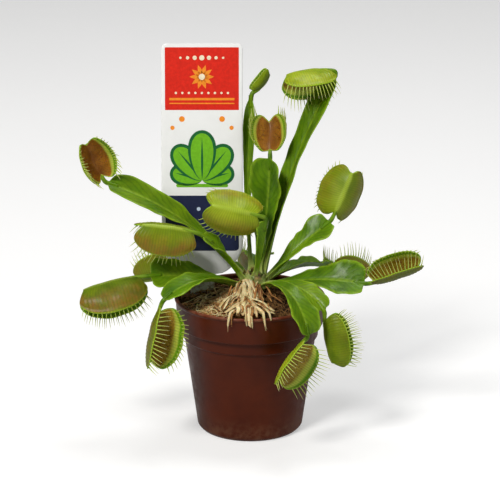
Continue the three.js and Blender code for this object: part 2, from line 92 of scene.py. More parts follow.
def copied(faces, count, per):
    """Faces for that many copies of a shape of `per` points, one copy's points after another's."""
    starts = per * np.arange(count)[:, None, None]
    return [(f + starts).reshape(-1, f.shape[1]) for f in faces]


def spread(shape, **values):
    """Marks for a grid of points: each value is spread over the grid's shape."""
    return {key: np.broadcast_to(value, shape).ravel() for key, value in values.items()}


def joined(parts):
    """Several (points, faces, marks) as one: points are stacked, and each part's faces are moved up by the
    number of points before it."""
    starts = np.cumsum([0] + [len(p) for p, _, _ in parts])
    points = np.concatenate([p for p, _, _ in parts])
    faces = [f + start for (_, fs, _), start in zip(parts, starts) for f in fs]
    marks = {key: np.concatenate([m[key] for _, _, m in parts]) for key in parts[0][2]}
    return points, faces, marks


def mesh_of(name, points, faces, marks=None):
    """A smooth mesh from points in millimetres, faces as arrays of corners, and for each mark one number a
    point."""
    mesh = bpy.data.meshes.new(name)
    corners = np.concatenate([f.ravel() for f in faces]).astype(np.int32)
    sizes = np.concatenate([np.full(len(f), f.shape[1]) for f in faces])
    mesh.vertices.add(len(points))
    mesh.vertices.foreach_set("co", (points * MM).astype(np.float32).ravel())
    mesh.loops.add(len(corners))
    mesh.loops.foreach_set("vertex_index", corners)
    mesh.polygons.add(len(sizes))
    mesh.polygons.foreach_set("loop_start", (np.cumsum(sizes) - sizes).astype(np.int32))
    mesh.polygons.foreach_set("use_smooth", np.ones(len(sizes), bool))
    mesh.update(calc_edges=True)
    for key, values in (marks or {}).items():
        mesh.attributes.new(key, "FLOAT", "POINT").data.foreach_set("value", values.astype(np.float32))
    return mesh


def in_scene(name, data):
    thing = bpy.data.objects.new(name, data)
    bpy.context.scene.collection.objects.link(thing)
    return thing


def piece(name, shape, finish, *nodes):
    """Puts a shape (points, faces, marks) into the scene as a piece that rides on the pot's body."""
    thing, slot = in_scene(name, mesh_of(name, *shape)), finish.slot
    thing.data.materials.append(finish.material)
    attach(thing, "root")
    if nodes:
        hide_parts(*nodes)
    return thing


# %% Small sums used by every shape
def mix(a, b, t):
    return a + (b - a) * t


def smooth(t):
    """0 below 0 and 1 above 1, with an S between them: t squared times (3 - 2 t)."""
    t = np.clip(t, 0, 1)
    return t * t * (3 - 2 * t)


def unit(vectors):
    return vectors / np.linalg.norm(vectors, axis=-1, keepdims=True)


def ripples(points, size, waves=18, seed=1):
    """Smooth lumps of about that size in millimetres: a sum of plane waves in random directions, scaled to
    stay mostly between -1 and 1."""
    random = np.random.default_rng(seed)
    pull = unit(random.normal(size=(waves, 3))) * TURN / (size * random.uniform(0.7, 1.6, (waves, 1)))
    phase = random.uniform(0, TURN, waves)
    return np.sin(points @ pull.T + phase).sum(-1) / (0.5 * waves) ** 0.5 / 2


def tubes(paths, radii, sides, across, flat=1.0):
    """Closed tapering tubes along many paths at once. Each ring is path + radius * (cos a * w + flat * sin a
    * n), where w is square to the path and to the direction across, and n is square to both."""
    count, stations = paths.shape[:2]
    forward = unit(np.gradient(paths, axis=1))
    wide = unit(np.cross(forward, np.broadcast_to(across, paths.shape)))
    thin = np.cross(forward, wide)
    angle = ring_of(sides)[:, None]
    ring = np.cos(angle) * wide[..., None, :] + flat * np.sin(angle) * thin[..., None, :]
    points = paths[..., None, :] + radii[..., None, None] * ring
    along = np.linspace(0, 1, stations)[None, :, None]
    tone = np.random.default_rng(count).random(count)[:, None, None]
    faces = copied(capped(stations, sides), count, stations * sides)
    return points.reshape(-1, 3), faces, spread(points.shape[:3], along=along, tone=tone)


# %% [markdown]
# ## Finishes
# Living leaves, peat, straw and moulded plastic all vary at more than one size, so each finish is built from
# the same two node groups: one mixes two colours by noise, and one makes a height for bump. A picture could
# be wrapped round each piece instead, but it would blur close up and tie the piece to a file. What a node
# puts out is wrapped in a small class, so that a sum of two of them adds the Math node it needs.


# %% Nodes written as sums
def feed(socket, value):
    """Links an output to a socket, or sets the socket to a number, a vector or a colour of three numbers."""
    if isinstance(value, Output):
        value.tree.links.new(value.socket, socket)
    else:
        socket.default_value = (*value, 1.0) if socket.type == "RGBA" else value


def put(tree, kind, out, inputs=None, **settings):
    """Adds a node, sets its own properties and feeds its inputs, and returns the output asked for."""
    node = tree.nodes.new("ShaderNode" + kind)
    for key, value in settings.items():
        setattr(node, key, value)
    for key, value in (inputs or {}).items():
        feed(node.inputs[key], value)
    return Output(node.outputs[out])


class Output:
    """What a node puts out: a number to reckon with, or a colour to mix."""

    def __init__(self, socket):
        self.socket, self.tree = socket, socket.id_data

    def math(self, operation, *others, clamp=False):
        terms = dict(enumerate([self, *others]))
        return put(self.tree, "Math", 0, terms, operation=operation, use_clamp=clamp)

    def __add__(self, other):
        return self.math("ADD", other)

    def __sub__(self, other):
        return self.math("SUBTRACT", other)

    def __mul__(self, other):
        return self.math("MULTIPLY", other)

    def __truediv__(self, other):
        return self.math("DIVIDE", other)

    def __rtruediv__(self, other):
        return put(self.tree, "Math", 0, {0: other, 1: self}, operation="DIVIDE")

    def __pow__(self, other):
        return self.math("POWER", other)

    def __abs__(self):
        return self.math("ABSOLUTE")

    def step(self, low, high):
        """0 at low, 1 at high and smooth between, also where high is the smaller of the two."""
        ends = {"Value": self, "From Min": low, "From Max": high}
        return put(self.tree, "MapRange", "Result", ends, clamp=True, interpolation_type="SMOOTHSTEP")

    def toward(self, colour, share):
        """This colour mixed with a share of another. The Mix node's colours are sockets 6, 7 and 2."""
        return put(self.tree, "Mix", 2, {"Factor": share, 6: self, 7: colour}, data_type="RGBA")


# %% Two groups that every finish shares
def group(name, inputs, outputs):
    """An empty node group with sockets of those names and kinds, and its two ends."""
    tree = bpy.data.node_groups.new(name, "ShaderNodeTree")
    for way, sockets in {"INPUT": inputs, "OUTPUT": outputs}.items():
        for key, kind in sockets.items():
            tree.interface.new_socket(key, in_out=way, socket_type="NodeSocket" + kind)
    given = tree.nodes.new("NodeGroupInput").outputs
    return tree, {key: Output(given[key]) for key in inputs}, tree.nodes.new("NodeGroupOutput").inputs


sockets = {"Vector": "Vector", "Size": "Float", "Contrast": "Float", "Dark": "Color", "Light": "Color"}
mottle, given, result = group("mottle", sockets, {"Color": "Color", "Mask": "Float"})
noise = {"Vector": given["Vector"], "Scale": (1 / MM) / given["Size"], "Detail": 4.0, "Roughness": 0.6}
swing = (put(mottle, "TexNoise", "Fac", noise) - 0.5) * given["Contrast"]
share = swing.math("MULTIPLY_ADD", 3.0, 0.5, clamp=True)
feed(result["Mask"], share)
feed(result["Color"], given["Dark"].toward(given["Light"], share))

relief, given, result = group(
    "relief", {"Vector": "Vector", "Size": "Float", "Pits": "Float"}, {"Height": "Float"}
)
cells = {"Vector": given["Vector"], "Scale": (1 / MM) / given["Size"]}
dents = put(relief, "TexVoronoi", "Distance", cells, feature="F1") * given["Pits"]
feed(result["Height"], put(relief, "TexNoise", "Fac", {**cells, "Detail": 3.0}) + dents)


# %% A finish
class Finish:
    """A material. The slot it is made with is kept on it, but nothing here gives that slot to a piece. The
    constants go to its Principled shader's own sockets.
    """

    def __init__(self, name, slot=None, **constants):
        self.slot, self.material = slot, bpy.data.materials.new(name)
        self.material.use_nodes = True
        self.tree = self.material.node_tree
        self.shader = self.tree.nodes["Principled BSDF"].inputs
        self.place = put(self.tree, "TexCoord", "Object")
        for key, value in constants.items():
            feed(self.shader[key.replace("_", " ")], value)

    def mark(self, name):
        """A number that the mesh carries at each point."""
        return put(self.tree, "Attribute", "Fac", attribute_name=name, attribute_type="GEOMETRY")

    def use(self, shared, **inputs):
        """Places a shared group, reading the piece's own coordinates, and returns its outputs."""
        node = self.tree.nodes.new("ShaderNodeGroup")
        node.node_tree = shared
        for key, value in {"Vector": self.place, **inputs}.items():
            feed(node.inputs[key], value)
        return [Output(socket) for socket in node.outputs]

    def mottled(self, size, contrast, dark=(0, 0, 0), light=(1, 1, 1)):
        """Clouds of about that many millimetres: their colour, from dark to light, and their mask."""
        return self.use(mottle, Size=size, Contrast=contrast, Dark=dark, Light=light)

    def rough(self, size, pits=0.3):
        """The height of a surface with grains and pits of about that many millimetres."""
        return self.use(relief, Size=size, Pits=pits)[0]

    def height_mm(self):
        return put(self.tree, "SeparateXYZ", "Z", {"Vector": self.place}) / MM

    def dress(self, base, roughness, height=None, depth=0.1):
        """Links what varies: colour, roughness, and a bump whose height is that many millimetres."""
        feed(self.shader["Base Color"], base)
        feed(self.shader["Roughness"], roughness)
        if height is not None:
            bump = {"Height": height, "Distance": depth * MM, "Strength": 1.0}
            feed(self.shader["Normal"], put(self.tree, "Bump", "Normal", bump))
        print("finish:", self.material.name)


# %% [markdown]
# ### Leaf skin
# The winged stalk is bright grass green with a paler midrib with fine side veins, and a whitish foot where it
# was wrapped in its neighbours. Its margin is painted lighter and yellower, as a painted highlight of light
# catching and shining through the edges. The mesh carries how far along and how far across each point is, so
# the veins follow the blade however it bends.

# %% The winged stalk's finish
waxy = {"Subsurface_Scale": 0.0015, "Specular_IOR_Level": 0.14}
blade_skin = Finish(
    "leaf_blade", "leaf", Subsurface_Weight=0.3, Subsurface_Radius=(0.5, 1.0, 0.1), Coat_Weight=0.1,
    Coat_Roughness=0.2, **waxy,
)  # fmt: skip
along, across, tint = map(blade_skin.mark, ["along", "across", "tint"])
reach = abs(across)
green, clouds = blade_skin.mottled(9.0, 1.1, (0.024, 0.082, 0.001), (0.10, 0.228, 0.002))
lime, _ = blade_skin.mottled(14.0, 0.8, (0.075, 0.175, 0.002), (0.25, 0.375, 0.005))
margin, foot, midrib = reach.step(0.76, 1.0), along.step(0.22, 0.0), reach.step(0.14, 0.02)
# The margin is mixed toward a light yellow-green: a painted highlight along the blade's edges.
skin = green.toward(lime, tint).toward((0.31, 0.46, 0.02), margin * 0.6)
skin = skin.toward((0.5, 0.55, 0.16), foot * 0.75).toward((0.30, 0.45, 0.03), midrib * 0.45)
slant = clouds * 2.2 + (reach * -9.0 + along * 46.0)
vein = abs(slant.math("SINE")) ** 6.0
skin = skin.toward((0.02, 0.075, 0.001), vein * 0.26)
_, patches = blade_skin.mottled(2.2, 0.7)
blade_skin.dress(skin, patches * 0.16 + 0.3, vein * -0.9 + blade_skin.rough(0.35), 0.05)

# %% [markdown]
# ### Trap skin
# A lobe is olive to yellow-green outside, with a bright rim. Inside it is flushed tan to red and stippled
# with the tiny glands that digest a catch. The mesh says which face is the mouth's and how strongly this
# trap is flushed. It also says how far each spot faces down, and the outside is painted darker there as
# painted shade.

# %% The trap's outside
trap_skin = Finish(
    "trap_lobe", "leaf", Subsurface_Weight=0.35, Subsurface_Radius=(0.6, 1.0, 0.1), Coat_Weight=0.08,
    Coat_Roughness=0.25, **waxy,
)  # fmt: skip
across, mouth, flush = map(trap_skin.mark, ["across", "mouth", "flush"])
along, tint, below = map(trap_skin.mark, ["along", "tint", "below"])
reach = abs(across)
olive, _ = trap_skin.mottled(7.0, 1.0, (0.036, 0.08, 0.001), (0.12, 0.19, 0.002))
lime, _ = trap_skin.mottled(10.0, 0.9, (0.20, 0.31, 0.003), (0.43, 0.52, 0.018))
# Spots that face down (mark `below`) are mixed toward a deep olive: painted shade.
outside = olive.toward(lime, tint).toward((0.075, 0.105, 0.002), below * 0.75)
_, blush = trap_skin.mottled(6.0, 1.4)
warm = (flush * 1.3 * reach.step(0.1, 0.7)).math("MULTIPLY", blush * 0.7 + 0.3, clamp=True)
outside = outside.toward((0.30, 0.12, 0.02), warm).toward((0.42, 0.54, 0.06), reach.step(0.12, 0.02) * 0.7)

# %% Its inside and its rim
tan, _ = trap_skin.mottled(5.0, 0.9, (0.26, 0.17, 0.012), (0.44, 0.36, 0.045))
red, _ = trap_skin.mottled(4.0, 0.9, (0.17, 0.035, 0.004), (0.38, 0.13, 0.012))
glands = {"Vector": trap_skin.place, "Scale": 1150.0}
dots = put(trap_skin.tree, "TexVoronoi", "Distance", glands, feature="F1").step(0.45, 0.2)
inside = tan.toward(red, flush).toward((0.15, 0.035, 0.006), reach.step(0.45, 0.0) * 0.5)
inside = inside.toward((0.15, 0.045, 0.006), dots * 0.6)
edge = reach.math("MAXIMUM", abs(along * 2.0 - 1.0) * 4.5 - 3.5)
inside = inside.toward((0.48, 0.55, 0.07), edge.step(0.58, 0.74))
inside = inside.toward((0.13, 0.30, 0.004), edge.step(0.8, 0.9))
skin = outside.toward(inside, mouth).toward((0.36, 0.52, 0.03), edge.step(0.93, 0.99) * 0.8)
ribs = abs((along * 75.0).math("SINE")) ** 5.0
_, patches = trap_skin.mottled(1.8, 0.7)
height = dots * mouth * 1.2 + trap_skin.rough(0.3, 0.4)
trap_skin.dress(skin.toward((0.05, 0.10, 0.003), ribs * 0.28), patches * 0.16 + 0.34, height, 0.05)

# %% Teeth and trigger hairs
pulpy = {"Subsurface_Scale": 0.001, "Subsurface_Radius": (0.8, 1.0, 0.3)}
tooth_skin = Finish("trap_teeth", "leaf", Subsurface_Weight=0.4, **pulpy)
pale, clouds = tooth_skin.mottled(3.0, 0.8, (0.34, 0.46, 0.05), (0.55, 0.62, 0.14))
skin = pale.toward((0.66, 0.64, 0.34), tooth_skin.mark("along").step(0.45, 1.0) * 0.6)
tooth_skin.dress(skin, clouds * 0.12 + 0.36, tooth_skin.rough(0.25, 0.2), 0.03)

hair_skin = Finish("trigger_hair", "leaf")
rusty, clouds = hair_skin.mottled(1.0, 1.0, (0.10, 0.02, 0.008), (0.3, 0.1, 0.03))
hair_skin.dress(rusty, clouds * 0.1 + 0.4)

# %% [markdown]
# ## The leaves
# A flytrap's leaf is one growth in two parts: a stalk with broad wings, and beyond a bare neck the trap. Both
# could be sculpted by hand. Here each is a sheet over two parameters, how far along and how far across, and
# fifteen rows of numbers turn the same sheet into fifteen leaves that lie where the CAD leaves lie.

# %% Sizes of the leaves, in millimetres and degrees
CROWN, CROWN_RADIUS, SUNK = np.array([1.5, 0.0, 62.0]), 6.5, 0.8
WING_ROWS = 1 - (1 - np.arange(8) / 7) ** 1.35
NARROWEST, WIDEST, BLUNT = 0.17, 0.84, 2.2  # half width at the crown, where it is widest, how square it ends
FOLD, RIPPLE, HEART = math.radians(18), 0.9, 0.12
EDGE, RIB_FOOT, RIB_TIP = 0.7, 1.9, 1.5  # thickness at the wings' edge, and along the midrib
NECK_LENGTH, NECK_RADIUS = 1.4, 0.95
OUTLINE, ARCH, SWELL, TUCK, TUCK_DEPTH = 2.2, 1.8, 0.7, 0.26, 0.45  # of the trap's lobes, see lobe()
GROWN = 8  # a trap whose half length is less has not opened yet
# name: (stalk azimuth, swing, height on the dome, first rise, last rise, length),
# (wings' width, roll, waves), (trap azimuth, rise, roll, half length, depth, gape),
# (blade tint, trap tint, flush)
LEAVES = {
    "front_hanging": ((-57, 2, 6, 40, -76, 43), (13.5, -8, 2.2), (197, -54, 236, 11.5, 12.5, 1),
                      (0.35, 0.9, 0.15)),
    "front_right": ((-31, -12, 20, 22, -42, 33), (10, 24, 1.6), (-50, -72, -38, 12, 11, 0.1),
                    (0.75, 0.25, 0.1)),
    "right": ((-8, -3, 8, 14, -6, 42), (18, 42, 2.4), (2, 18, 38, 12.5, 11.5, 0.3), (0.25, 0.35, 0.2)),
    "right_rising": ((4, 22, 32, 46, 32, 37), (14, 26, 2), (34, 62, 242, 12, 12.5, 0.75), (0.4, 0.55, 0.3)),
    "middle_arching": ((-70, 30, 60, 68, 80, 28), (7, 0, 1.2), (184, 14, 115, 13, 11.5, 0.9), (0.3, 0.9, 0.35)),
    "back_upright": ((58, -14, 54, 70, 90, 50), (18, 0, 2.4), (92, 44, -6, 9.5, 10, 0.8), (0.15, 0.3, 0.85)),
    "left": ((188, 4, 6, 20, -2, 39), (16, -44, 2.2), (190, -12, 212, 15.5, 15.5, 0.2), (0.55, 0.1, 0.6)),
    "left_rising": ((208, -20, 38, 60, 38, 28), (9, -20, 1.6), (188, 10, 150, 14, 12, 0.7), (0.4, 0.4, 0.55)),
    "left_high": ((168, 10, 44, 50, 18, 71), (14, -40, 2.2), (190, 66, -75, 10, 10.5, 0.7), (0.5, 0.4, 0.9)),
    "front_left": ((216, -8, 8, 38, -36, 41), (12, -10, 1.8), (210, -76, 262, 14, 13.5, 0.5), (0.4, 0.2, 0.35)),
    "back_right_tall": ((34, 0, 30, 78, 54, 92), (14, 0, 2), (196, -4, 214, 12, 12.5, 0.6), (0.45, 0.85, 0.12)),
    "back_young": ((104, -30, 52, 66, 78, 76), (5, 0, 1), (20, 48, 0, 6, 4.6, 0), (0.5, 0.6, 0)),
    "back": ((84, 6, 4, 26, -30, 38), (14, 0, 2.2), (100, -40, 0, 12.5, 11.5, 0.5), (0.3, 0.4, 0.5)),
    "back_left": ((114, 44, 10, 24, -26, 38), (13, 8, 2), (166, -22, 24, 12.5, 11.5, 0.35), (0.5, 0.4, 0.3)),
    "back_right_low": ((44, -4, 2, 22, -22, 38), (14, -8, 2.2), (40, -30, -20, 12, 11.5, 0.7),
                       (0.35, 0.5, 0.6)),
}  # fmt: skip


# %% Directions and frames
def heading(azimuth, rise):
    """Unit vectors: (cos rise cos azimuth, cos rise sin azimuth, sin rise), both angles in degrees."""
    azimuth, rise = np.broadcast_arrays(np.radians(azimuth), np.radians(rise))
    return np.stack([np.cos(rise) * np.cos(azimuth), np.cos(rise) * np.sin(azimuth), np.sin(rise)], -1)


def frame_of(azimuth, rise, roll):
    """(forward, side, up) along a heading: up is square to forward and as near +Z as it goes, side is forward
    x up, and both are turned about forward by roll degrees."""
    forward, up = heading(azimuth, rise), heading(azimuth, np.asarray(rise) + 90)
    side = np.cross(forward, up)
    c, s = np.cos(np.radians(roll))[..., None], np.sin(np.radians(roll))[..., None]
    return forward, side * c - up * s, up * c + side * s


def stalk_line(stalk, share):
    """Points of the midrib at shares of its length. The line starts on the crown's dome and is steered by a
    steady change of azimuth and rise. Eight stations are summed up, and between them a cubic with the
    stations' headings as its slopes gives the point."""
    azimuth, swing, dome, first, last, length = stalk
    steer = lambda s: heading(azimuth + swing * s, mix(first, last, s))
    start = CROWN + heading(azimuth, dome) * (CROWN_RADIUS - SUNK)
    middles, steps = (WING_ROWS[1:] + WING_ROWS[:-1]) / 2, np.diff(WING_ROWS)
    stations = start + np.vstack([np.zeros(3), np.cumsum(steer(middles) * (length * steps)[:, None], 0)])
    i = np.clip(np.searchsorted(WING_ROWS, share, side="right") - 1, 0, len(steps) - 1)
    t = ((share - WING_ROWS[i]) / steps[i])[:, None]
    pull = length * steps[i][:, None]
    a, b = steer(WING_ROWS[i]) * pull, steer(WING_ROWS[i + 1]) * pull
    p, q = stations[i], stations[i + 1]
    return p * (1 + 2 * t) * (1 - t) ** 2 + a * t * (1 - t) ** 2 + q * t * t * (3 - 2 * t) - b * t * t * (1 - t)


# %% The winged stalk
def wing_spread(share):
    """Half width as a share of the widest: from NARROWEST at the crown it swells to 1 at WIDEST of the length,
    then closes to a blunt end as 1 - past to the power BLUNT."""
    past = np.clip((share - WIDEST) / (1 - WIDEST), 0, 1)
    return mix(NARROWEST, 1.0, smooth(share / WIDEST)) * (1 - past**BLUNT)


def wings(stalk, blade, seed):
    """A folded, waved blade about the midrib, as a closed skin of rings. Round a ring v = cos a runs from edge
    to edge and back below: sideways v * half * cos FOLD, up |v| * half * sin FOLD plus a wave that grows with
    v squared, and half the thickness above and below, rounded off to nothing at the edges. Near the end both
    sides reach forward past their middle, by HEART of the width times v squared, as an upturned heart does."""
    width, roll, waves = blade
    azimuth, swing, _, first, last, length = stalk
    share = 1 - (1 - np.linspace(0, 1, 110)) ** 1.5
    line = stalk_line(stalk, share)
    forward, side, up = frame_of(azimuth + swing * share, mix(first, last, share), roll * smooth(share))
    share = share[:, None]
    half = np.maximum(width / 2 * wing_spread(share), NECK_RADIUS) + 1.5 * np.exp(-share * length / 2.6)
    wobble = 0.035 * np.sin(TURN * (waves * 2.3 * share + 0.37 * seed)) + 0.02 * np.sin(TURN * 9 * share + seed)
    turn = ring_of(44)
    v = np.cos(turn) * np.ones_like(share)
    over = np.where(np.sin(turn) >= 0, 1.0, -1.0)
    phase = np.where(v > 0, 0.4, 2.2)
    wave = smooth(1.6 * share) * half * (1 - np.exp(-share / 0.1)) / (width / 2) * v * v
    lift = RIPPLE * wave * np.sin(TURN * waves * share + phase)
    lift += 0.28 * wave * v * v * np.sin(TURN * 3.1 * waves * share + 2 * phase + seed)
    thick = EDGE + (mix(RIB_FOOT, RIB_TIP, share) - EDGE) * (1 - np.abs(v)) ** 3
    groove = 0.35 * np.exp(-((v * half / 0.7) ** 2)) * smooth(4 * share)
    level = EDGE / 2 - thick / 2 + over * np.sqrt(1 - np.abs(v) ** 8) * thick / 2 - groove * (over > 0)
    out = v * half * (1 + wobble * np.abs(v)) * math.cos(FOLD)
    rise = np.abs(v) * half * math.sin(FOLD) + lift + level
    heart = HEART * width * smooth((share - 0.78) / 0.15) * (1 - smooth((share - 0.93) / 0.07)) * v * v
    ways = zip([side, up, forward], [out, rise, heart])
    points = line[:, None] + sum(way[:, None] * far[..., None] for way, far in ways)
    return points.reshape(-1, 3), capped(*v.shape), spread(v.shape, along=share, across=v, mouth=over > 0)


# %% The trap's sheet
def trap_place(stalk, sizes):
    """The trap's frame, hinge and opening. A short bare neck leads from the wings' end to the start of the
    hinge. A lobe leaves the hinge at the angle `opened` and curls back by `curl` on its way to the margin."""
    azimuth, rise, roll, half, depth, gape = sizes
    forward, side, up = frame_of(azimuth, rise, np.float64(roll))
    last = stalk_line(stalk, np.array([1.0]))[0]
    leaving = heading(stalk[0] + stalk[1], stalk[4])
    opened, curl = np.radians([mix(50, 78, gape), mix(88, 50, gape)])
    return SimpleNamespace(
        forward=forward, side=side, up=up, start=last + unit(leaving + forward) * NECK_LENGTH, last=last,
        leaving=leaving, half=half, depth=depth, opened=opened, curl=curl, grown=half > GROWN,
    )  # fmt: skip


def hinge(trap, u):
    """The hinge runs forward from u = -1 to 1 and bows by ARCH away from the mouth."""
    u = np.asarray(u, float)[..., None]
    return trap.start + trap.forward * trap.half * (1 + u) - trap.up * ARCH * (1 - u * u)


def lobe(trap, u, v):
    """A point of the lobes' middle sheet and the way out of the mouth there. Across the hinge the section is an
    arc, and its length follows a blunt oval of power OUTLINE along u. Close to the hinge the sheet is drawn in
    lengthwise by TUCK and widens as a quarter sine, which rounds the lobes' corners."""
    reach = np.abs(v)
    length = trap.depth * (1 - np.abs(u) ** OUTLINE) ** (1 / OUTLINE)
    widened = np.sin(np.pi / 2 * np.minimum(1, length * reach / (TUCK_DEPTH * trap.depth)))
    lean = trap.opened - trap.curl * reach
    out = length / trap.curl * (np.cos(lean) - np.cos(trap.opened)) + SWELL * reach
    rise = length / trap.curl * (np.sin(trap.opened) - np.sin(lean))
    side = trap.side * np.sign(v)[..., None]
    point = hinge(trap, u * (1 - TUCK + TUCK * widened)) + side * out[..., None] + trap.up * rise[..., None]
    flatten = smooth(reach / 0.16)
    away = side * (np.cos(lean) * flatten)[..., None]
    return point, unit(away - trap.up * mix(1.0, np.sin(lean), flatten)[..., None])


def trap_sheet(trap, seed):
    """Both lobes as one closed skin of rings: round a ring v = cos a goes from margin to margin along the back
    and returns along the mouth. The back carries the hinge's rib, shallow flutes run from hinge to margin, and
    the margin rolls out a little into a thicker rim. The mark `below` says how far a spot looks down, and the
    trap's finish paints such spots darker as painted shade."""
    turn = ring_of(64)
    u = 0.9985 * np.sin(np.linspace(-np.pi / 2, np.pi / 2, 72))[:, None] * np.ones(64)
    v = np.cos(turn) * np.ones_like(u)
    back = np.where(np.sin(turn) >= 0, 1.0, -1.0)
    point, away = lobe(trap, u, v)
    small = trap.depth / 12
    rim = smooth((np.abs(v) - 0.86) / 0.12)
    thick = (0.75 + 0.3 * rim) * (0.6 + 0.4 * small)
    rib = 0.55 * np.exp(-((v / 0.13) ** 2)) * (back > 0)
    flutes = 0.07 * np.cos(TURN * 8.5 * u + seed) * smooth(np.abs(v) / 0.4) * (1 - rim)
    lumps = 0.24 * small * ripples(point, 8.0, seed=seed)
    offset = back * np.sqrt(1 - v**8) * thick / 2 + rib + flutes + lumps + 0.45 * small * rim
    points = point + away * offset[..., None]
    # How far each spot faces down: the finish darkens these spots as painted shade.
    below = smooth((0.1 - away[..., 2]) / 0.8)
    marks = spread(v.shape, along=(u + 1) / 2, across=v, mouth=back < 0, below=below)
    return points.reshape(-1, 3), capped(*v.shape), marks


# %% Neck, teeth and trigger hairs
def neck(trap):
    """A short round stalk along a smoothed line of five points, from under the wings' end into the hinge."""
    last, start, up = trap.last, trap.start, trap.up
    knots = [last - trap.leaving * 5 - up * 0.3, last - up * 0.25, start - up * 0.35]
    knots = np.array([*knots, hinge(trap, -0.62) - up * 0.42, hinge(trap, -0.2) - up * 0.3])
    t = np.linspace(0, 4, 26)
    path = np.stack([np.interp(t, np.arange(5), knots[:, k]) for k in range(3)], -1)
    for _ in range(3):
        path[1:-1] = (path[:-2] + 2 * path[1:-1] + path[2:]) / 4
    radius = np.interp(t, np.arange(5), [0.75, 0.98, NECK_RADIUS, 0.7, 0.3])
    points, faces, marks = tubes(path[None], radius[None], 14, trap.side)
    t = marks["along"]
    return points, faces, spread(t.shape, along=0.85, across=0.35 * (1 - smooth(1.4 * t)), mouth=0.0)


def teeth(trap, per_lobe, seed):
    """The fringe of both margins: each tooth stands in the margin, in line with the lobe there, leans over the
    mouth, fans out at both ends, tapers, and bends in towards the other lobe by the square of its length."""
    random = np.random.default_rng(seed)
    sign = np.repeat([-1.0, 1.0], per_lobe)
    k = np.tile(np.arange(per_lobe), 2)
    u = -0.9 + 1.8 * (k + 0.5 + 0.22 * sign) / per_lobe
    margin = trap.opened - trap.curl + random.normal(0, 0.06, len(k))
    lean = trap.side * (sign * np.sin(margin))[:, None] + trap.up * np.cos(margin)[:, None]
    lean = unit(lean + trap.forward * (0.6 * u + random.normal(0, 0.04, len(k)))[:, None])
    longest = 6.6 * min(1.0, trap.depth / 11) * (1.0 if trap.grown else 0.45)
    length = longest * (0.55 + 0.45 * (1 - u**4)) * random.uniform(0.86, 1.08, len(k))
    base, _ = lobe(trap, u, sign * 0.985)
    t, length = np.linspace(0, 1, 7)[None, :, None], length[:, None, None]
    bend = (trap.up * 0.04 - trap.side * sign[:, None] * 0.16)[:, None]
    path = base[:, None] + lean[:, None] * (length * t - 0.4) + bend * length * t**2
    thick = np.full((len(k), 1), 0.27 if trap.grown else 0.16)
    return tubes(path, thick * [1.5, 1.0, 0.82, 0.68, 0.52, 0.36, 0.14], 6, trap.forward, 0.8)


def trigger_hairs(trap):
    """Three short hairs on each lobe, in a triangle, standing square to the inner face."""
    u, v = np.tile([-0.24, 0.0, 0.24], 2), np.tile([0.52, 0.36, 0.52], 2)
    base, away = lobe(trap, u, np.repeat([-1.0, 1.0], 3) * v)
    path = base[:, None] - away[:, None] * (0.2 + 1.9 * np.linspace(0, 1, 4)[None, :, None])
    return tubes(path, np.ones((6, 1)) * [0.16, 0.1, 0.08, 0.04], 5, trap.forward)


# %% Build the fifteen leaves
for seed, (key, (stalk, blade, sizes, (tint, trap_tint, flush))) in enumerate(LEAVES.items(), 1):
    name, trap = "leaf_" + key, trap_place(stalk, sizes)
    shape = joined([wings(stalk, blade, seed), neck(trap)])
    shape[2]["tint"] = np.full(len(shape[0]), tint)
    piece(name + "_wings", shape, blade_skin, name)
    shape = trap_sheet(trap, seed)
    shape[2].update(tint=np.full(len(shape[0]), trap_tint), flush=np.full(len(shape[0]), flush))
    piece(name + "_trap", shape, trap_skin, name)
    piece(name + "_teeth", teeth(trap, 16 if trap.grown else 9, seed), tooth_skin, name)
    if trap.grown:
        piece(name + "_hairs", trigger_hairs(trap), hair_skin)
faces = sum(len(o.data.polygons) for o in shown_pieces() if o.name.startswith("leaf"))
print("leaves:", len(LEAVES), "faces:", faces)

# %% [markdown]
# ## The pot
# It is a thin moulded nursery pot, turned about its axis, so a profile carried round a circle gives all of
# it: foot, tapered wall, collar, rolled lip, and the inside down to the floor. A cylinder pushed and bevelled
# by hand would do, but the profile keeps the CAD sizes. The six drain holes are then cut through the floor.


# %% Turned shapes
def eased(profile, radius, steps=4):
    """A profile with each inner corner replaced by a small curve: the corner is left by at most `radius`, and
    a quadratic curve with the corner as its pull joins the two sides."""
    corner = profile[1:-1]

    def short_of(other):
        """The point on the side to another corner that is `radius`, or at most 0.45 of the side, away."""
        long = np.linalg.norm(other - corner, axis=1, keepdims=True)
        return (corner + (other - corner) / long * np.minimum(radius, 0.45 * long))[:, None]

    t = np.linspace(0, 1, steps)[None, :, None]
    curve = short_of(profile[:-2]) * (1 - t) ** 2 + 2 * corner[:, None] * t * (1 - t)
    curve += short_of(profile[2:]) * t * t
    return np.vstack([profile[:1], curve.reshape(-1, 2), profile[-1:]])


def turned(profile, sides, centre=(0, 0)):
    """A profile of (radius, height) carried round the axis. Its first and last points are on the axis and
    close the shape as single points."""
    angle = ring_of(sides)
    ring = profile[1:-1]
    x, y = ring[:, :1] * np.cos(angle), ring[:, :1] * np.sin(angle)
    rings = np.stack([x, y, ring[:, 1:] + 0 * x], -1).reshape(-1, 3)
    ends = np.array([[0, 0, profile[0, 1]], [0, 0, profile[-1, 1]]])
    points = np.vstack([rings, ends]) + [*centre, 0]
    near, far = np.arange(sides), len(rings) - sides + np.arange(sides)
    first = np.stack([np.roll(near, -1), near, np.full(sides, len(rings))], -1)
    last = np.stack([far, np.roll(far, -1), np.full(sides, len(rings) + 1)], -1)
    return points, [knit(len(ring), sides), first, last]


